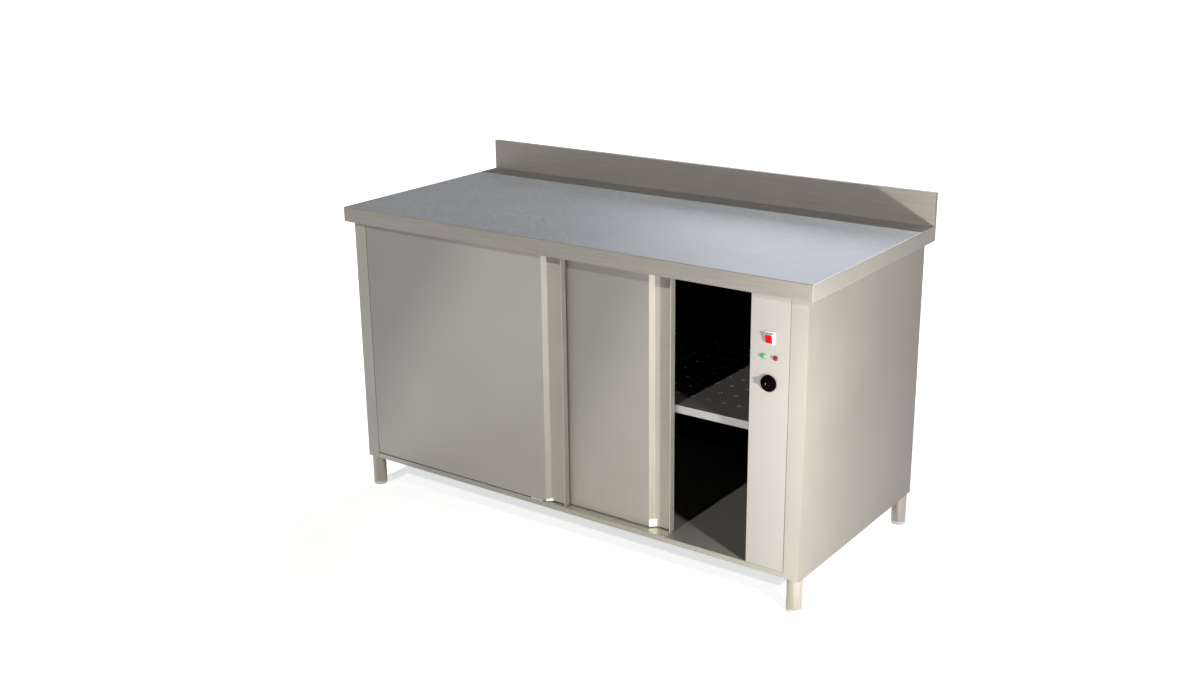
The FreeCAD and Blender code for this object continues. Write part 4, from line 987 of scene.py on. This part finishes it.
class CABINET_OT_legs_and_feet(Operator):
    """Turns the four tube legs and the adjustable feet that screw into them"""
    bl_idname = "cabinet.legs_and_feet"
    bl_label = "Legs and feet"

    def execute(self, context):
        sizes = context.scene.cabinet_sizes
        pad = [(0, 0), (14, 0), (16.4, 0.5), (18.3, 1.8), (19.5, 3.7), (20, 6), (20, 9.4),
               (19.5, 10), (5, 10), (5, 59.4), (4.4, 60), (0, 60)]
        top_bore, bottom_bore, hollow, top_wall, bottom_wall = 6.1, 5.05, 18.5, 23, 30
        for corner in ("front_left", "front_right", "back_left", "back_right"):
            low, high = node_box("leg_" + corner)
            base = centre_of("leg_" + corner)
            base.z = 0
            bottom, top, radius = low.z / MM, high.z / MM, (high.x - low.x) / 2 / MM
            edge = sizes.leg_edge / MM
            tube = [(radius - edge, bottom), (radius, bottom + edge), (radius, top - edge),
                    (radius - edge, top), (top_bore, top), (top_bore, top - top_wall),
                    (hollow, top - top_wall), (hollow, bottom + bottom_wall),
                    (bottom_bore, bottom + bottom_wall), (bottom_bore, bottom), (radius - edge, bottom)]
            leg = new_turned("leg_tube_" + corner, tube, base, UP, sizes.round_steps)
            finish_piece(leg, "leg_steel", "leg_" + corner)
            foot = new_turned("foot_pad_" + corner, pad, base, UP, sizes.round_steps)
            finish_piece(foot, "foot_plastic", "foot_" + corner, "foot_" + corner)
        return {"FINISHED"}


class CABINET_OT_cable_gland(Operator):
    """Turns the cable gland on the back: hexagon, domed nut, thread and lock nut"""
    bl_idname = "cabinet.cable_gland"
    bl_label = "Cable gland"

    def execute(self, context):
        outside = node_box("back_skin")[1].y
        place = centre_of("cable_gland", outside)
        inner = (node_box("cable_gland")[0].y - outside) / MM
        rings = [
            ("gland_body", 48, [(5, inner), (9.6, inner), (10, inner + 0.5), (10, 0.1), (10.6, 0.1),
                                (10.6, 5.0), (11, 5.4), (11, 12.2), (10.2, 14.2), (8.6, 15.6),
                                (6.4, 16), (5, 16), (5, inner)]),
            ("gland_hexagon", 6, [(9.8, 0), (13.6, 0), (14, 0.5), (14, 4.5), (13.6, 5), (9.8, 5),
                                  (9.8, 0)]),
            ("gland_lock_nut", 6, [(10.1, -1.2), (13.2, -1.2), (13.5, -1.6), (13.5, -5.8),
                                   (13.2, -6.2), (10.1, -6.2), (10.1, -1.2)]),
        ]
        gland = join_pieces([new_turned(name, profile, place, BACK, steps)
                             for name, steps, profile in rings])
        gland.name = "gland_and_nut"
        finish_piece(gland, "grey_plastic", "cable_gland", smooth=30)
        return {"FINISHED"}


# Stage

class CABINET_OT_stage(Operator):
    """Lays the pale floor and sets the camera, the lights and the even light all round"""
    bl_idname = "cabinet.stage"
    bl_label = "Stage"

    def light(self, name, kind, place, aim, size, power, colour):
        """A lamp that points at its aim; its size is a sun's angle, a disk's width or a bulb's radius."""
        data = bpy.data.lights.new(name, kind)
        data.energy, data.color = power, paint(colour)
        if kind == "AREA":
            data.shape = "DISK"
        setattr(data, {"SUN": "angle", "AREA": "size", "POINT": "shadow_soft_size"}[kind], size)
        lamp = bpy.data.objects.new(name, data)
        bpy.context.collection.objects.link(lamp)
        lamp.location = place
        lamp.rotation_euler = (Vector(aim) - Vector(place)).to_track_quat("-Z", "Y").to_euler()
        lamp.visible_camera = False

    def floor(self, context, studio):
        deselect_all()
        bpy.ops.mesh.primitive_plane_add(size=40)
        floor = context.object
        floor.name = "studio_floor"
        material, surface = new_material("pale_matt_studio_floor", Base_Color=paint("#C8C8C8", True),
                                         Roughness=0.9, Specular_IOR_Level=0.1)
        tree = material.node_tree
        rays = add_node(material, "LightPath")
        mirrored = add_node(material, "Math", {"operation": "MULTIPLY", 1: studio.floor_in_metal},
                            {0: rays.outputs["Is Glossy Ray"]})
        place = add_node(material, "TexCoord").outputs["Object"]
        far = add_node(material, "VectorMath", {"operation": "LENGTH"}, {0: place})
        # Metres from the middle: up to the inner the floor is darker, from the outer on it is white.
        inner, outer = 0.9, 1.7
        paler = add_node(material, "MapRange",
                         {"interpolation_type": "SMOOTHSTEP", "From Min": inner, "From Max": outer,
                          "To Min": studio.floor_white, "To Max": 1.0}, {"Value": far.outputs["Value"]})
        seen = add_node(material, "Math", {"operation": "MULTIPLY_ADD"},
                        {0: rays.outputs["Is Camera Ray"], 1: paler, 2: mirrored})
        glow = add_node(material, "Emission", {"Color": (1, 1, 1, 1)}, {"Strength": seen})
        both = add_node(material, "AddShader", None, {0: surface, 1: glow})
        tree.links.new(both.outputs[0], tree.nodes["Material Output"].inputs[0])
        floor.data.materials.append(material)

    def room(self, context, studio):
        world = bpy.data.worlds.new("even_room_light")
        context.scene.world = world
        world.use_nodes = True
        back = world.node_tree.nodes["Background"]
        back.inputs["Color"].default_value = paint("#FFFFFF", True)
        rays = add_node(world, "LightPath")
        mirrored = add_node(world, "MapRange",
                            {"To Min": studio.room_light, "To Max": studio.room_in_metal},
                            {"Value": rays.outputs["Is Glossy Ray"]})
        strength = add_node(world, "Math", {"operation": "MAXIMUM"},
                            {0: rays.outputs["Is Camera Ray"], 1: mirrored})
        world.node_tree.links.new(strength.outputs[0], back.inputs["Strength"])
        warm, cool = "#FFFDFA", "#EAF1FF"
        for lamp in (
                ("front_light", "SUN", (0.34, -5.5, 4.9), (0.34, 0, 0.5), 0.02, studio.front_light, warm),
                ("near_right_light", "POINT", (1.30, -0.66, 0.57), (0.6, -0.2, 0.6), 0.03,
                 studio.right_light, warm),
                ("low_back_light", "AREA", (-2.2, 5.0, 2.7), (0, 0.1, 0.86), 1.8, studio.side_light, cool),
                ("high_back_light", "SUN", (0, 4.2, 5.52), (0, 0, 0.86), 0.04, studio.back_light, cool)):
            self.light(*lamp)

    def camera(self, context):
        # Its place, ways and lens were fitted to the straight edges in the photo.
        place = Vector((2.17602, -3.16169, 1.74560))
        right = Vector((0.81324, 0.58180, -0.01056)).normalized()
        forward = Vector((-0.55638, 0.77213, -0.30696)).normalized()
        view = bpy.data.cameras.new("photo_camera")
        view.sensor_width, view.lens = 36.0, 42.694
        camera = bpy.data.objects.new("photo_camera", view)
        context.collection.objects.link(camera)
        turn = Matrix((right, right.cross(forward).normalized(), -forward)).transposed()
        camera.matrix_world = Matrix.Translation(place) @ turn.to_4x4()
        context.scene.camera = camera
        context.scene.view_settings.view_transform = "Standard"

    def execute(self, context):
        studio = context.scene.cabinet_studio
        self.floor(context, studio)
        self.room(context, studio)
        self.camera(context)
        return {"FINISHED"}


class CABINET_PT_pieces(Panel):
    """Lists the cabinet's settings and the operators that make its pieces"""
    bl_label = "Plate warmer cabinet"
    bl_space_type = "VIEW_3D"
    bl_region_type = "UI"
    bl_category = "Cabinet"

    def draw(self, context):
        for settings in groups:
            group = getattr(context.scene, settings)
            box = self.layout.box()
            for name in group.bl_rna.properties.keys():
                if name not in ("rna_type", "name"):
                    box.prop(group, name)
        for operator in operators:
            self.layout.operator(operator.bl_idname)


operators = (
    CABINET_OT_stage, CABINET_OT_finishes, CABINET_OT_worktop, CABINET_OT_side_skins,
    CABINET_OT_floor_sheet, CABINET_OT_doors, CABINET_OT_control_panel, CABINET_OT_panel_screws,
    CABINET_OT_rocker_switch, CABINET_OT_pilot_lamps, CABINET_OT_thermostat_knob,
    CABINET_OT_legs_and_feet, CABINET_OT_cable_gland,
)
groups = {
    "cabinet_sizes": CabinetSizes, "cabinet_colours": CabinetColours, "cabinet_studio": StudioSettings,
}


def register():
    for item in (*groups.values(), *operators, CABINET_PT_pieces):
        bpy.utils.register_class(item)
    for name, group in groups.items():
        setattr(bpy.types.Scene, name, PointerProperty(type=group))


def unregister():
    for name in groups:
        delattr(bpy.types.Scene, name)
    for item in (CABINET_PT_pieces, *reversed(operators), *groups.values()):
        bpy.utils.unregister_class(item)


def main():
    register()
    for operator in operators:
        group, name = operator.bl_idname.split(".")
        getattr(getattr(bpy.ops, group), name)()
    deselect_all()


if __name__ == "__main__":
    main()
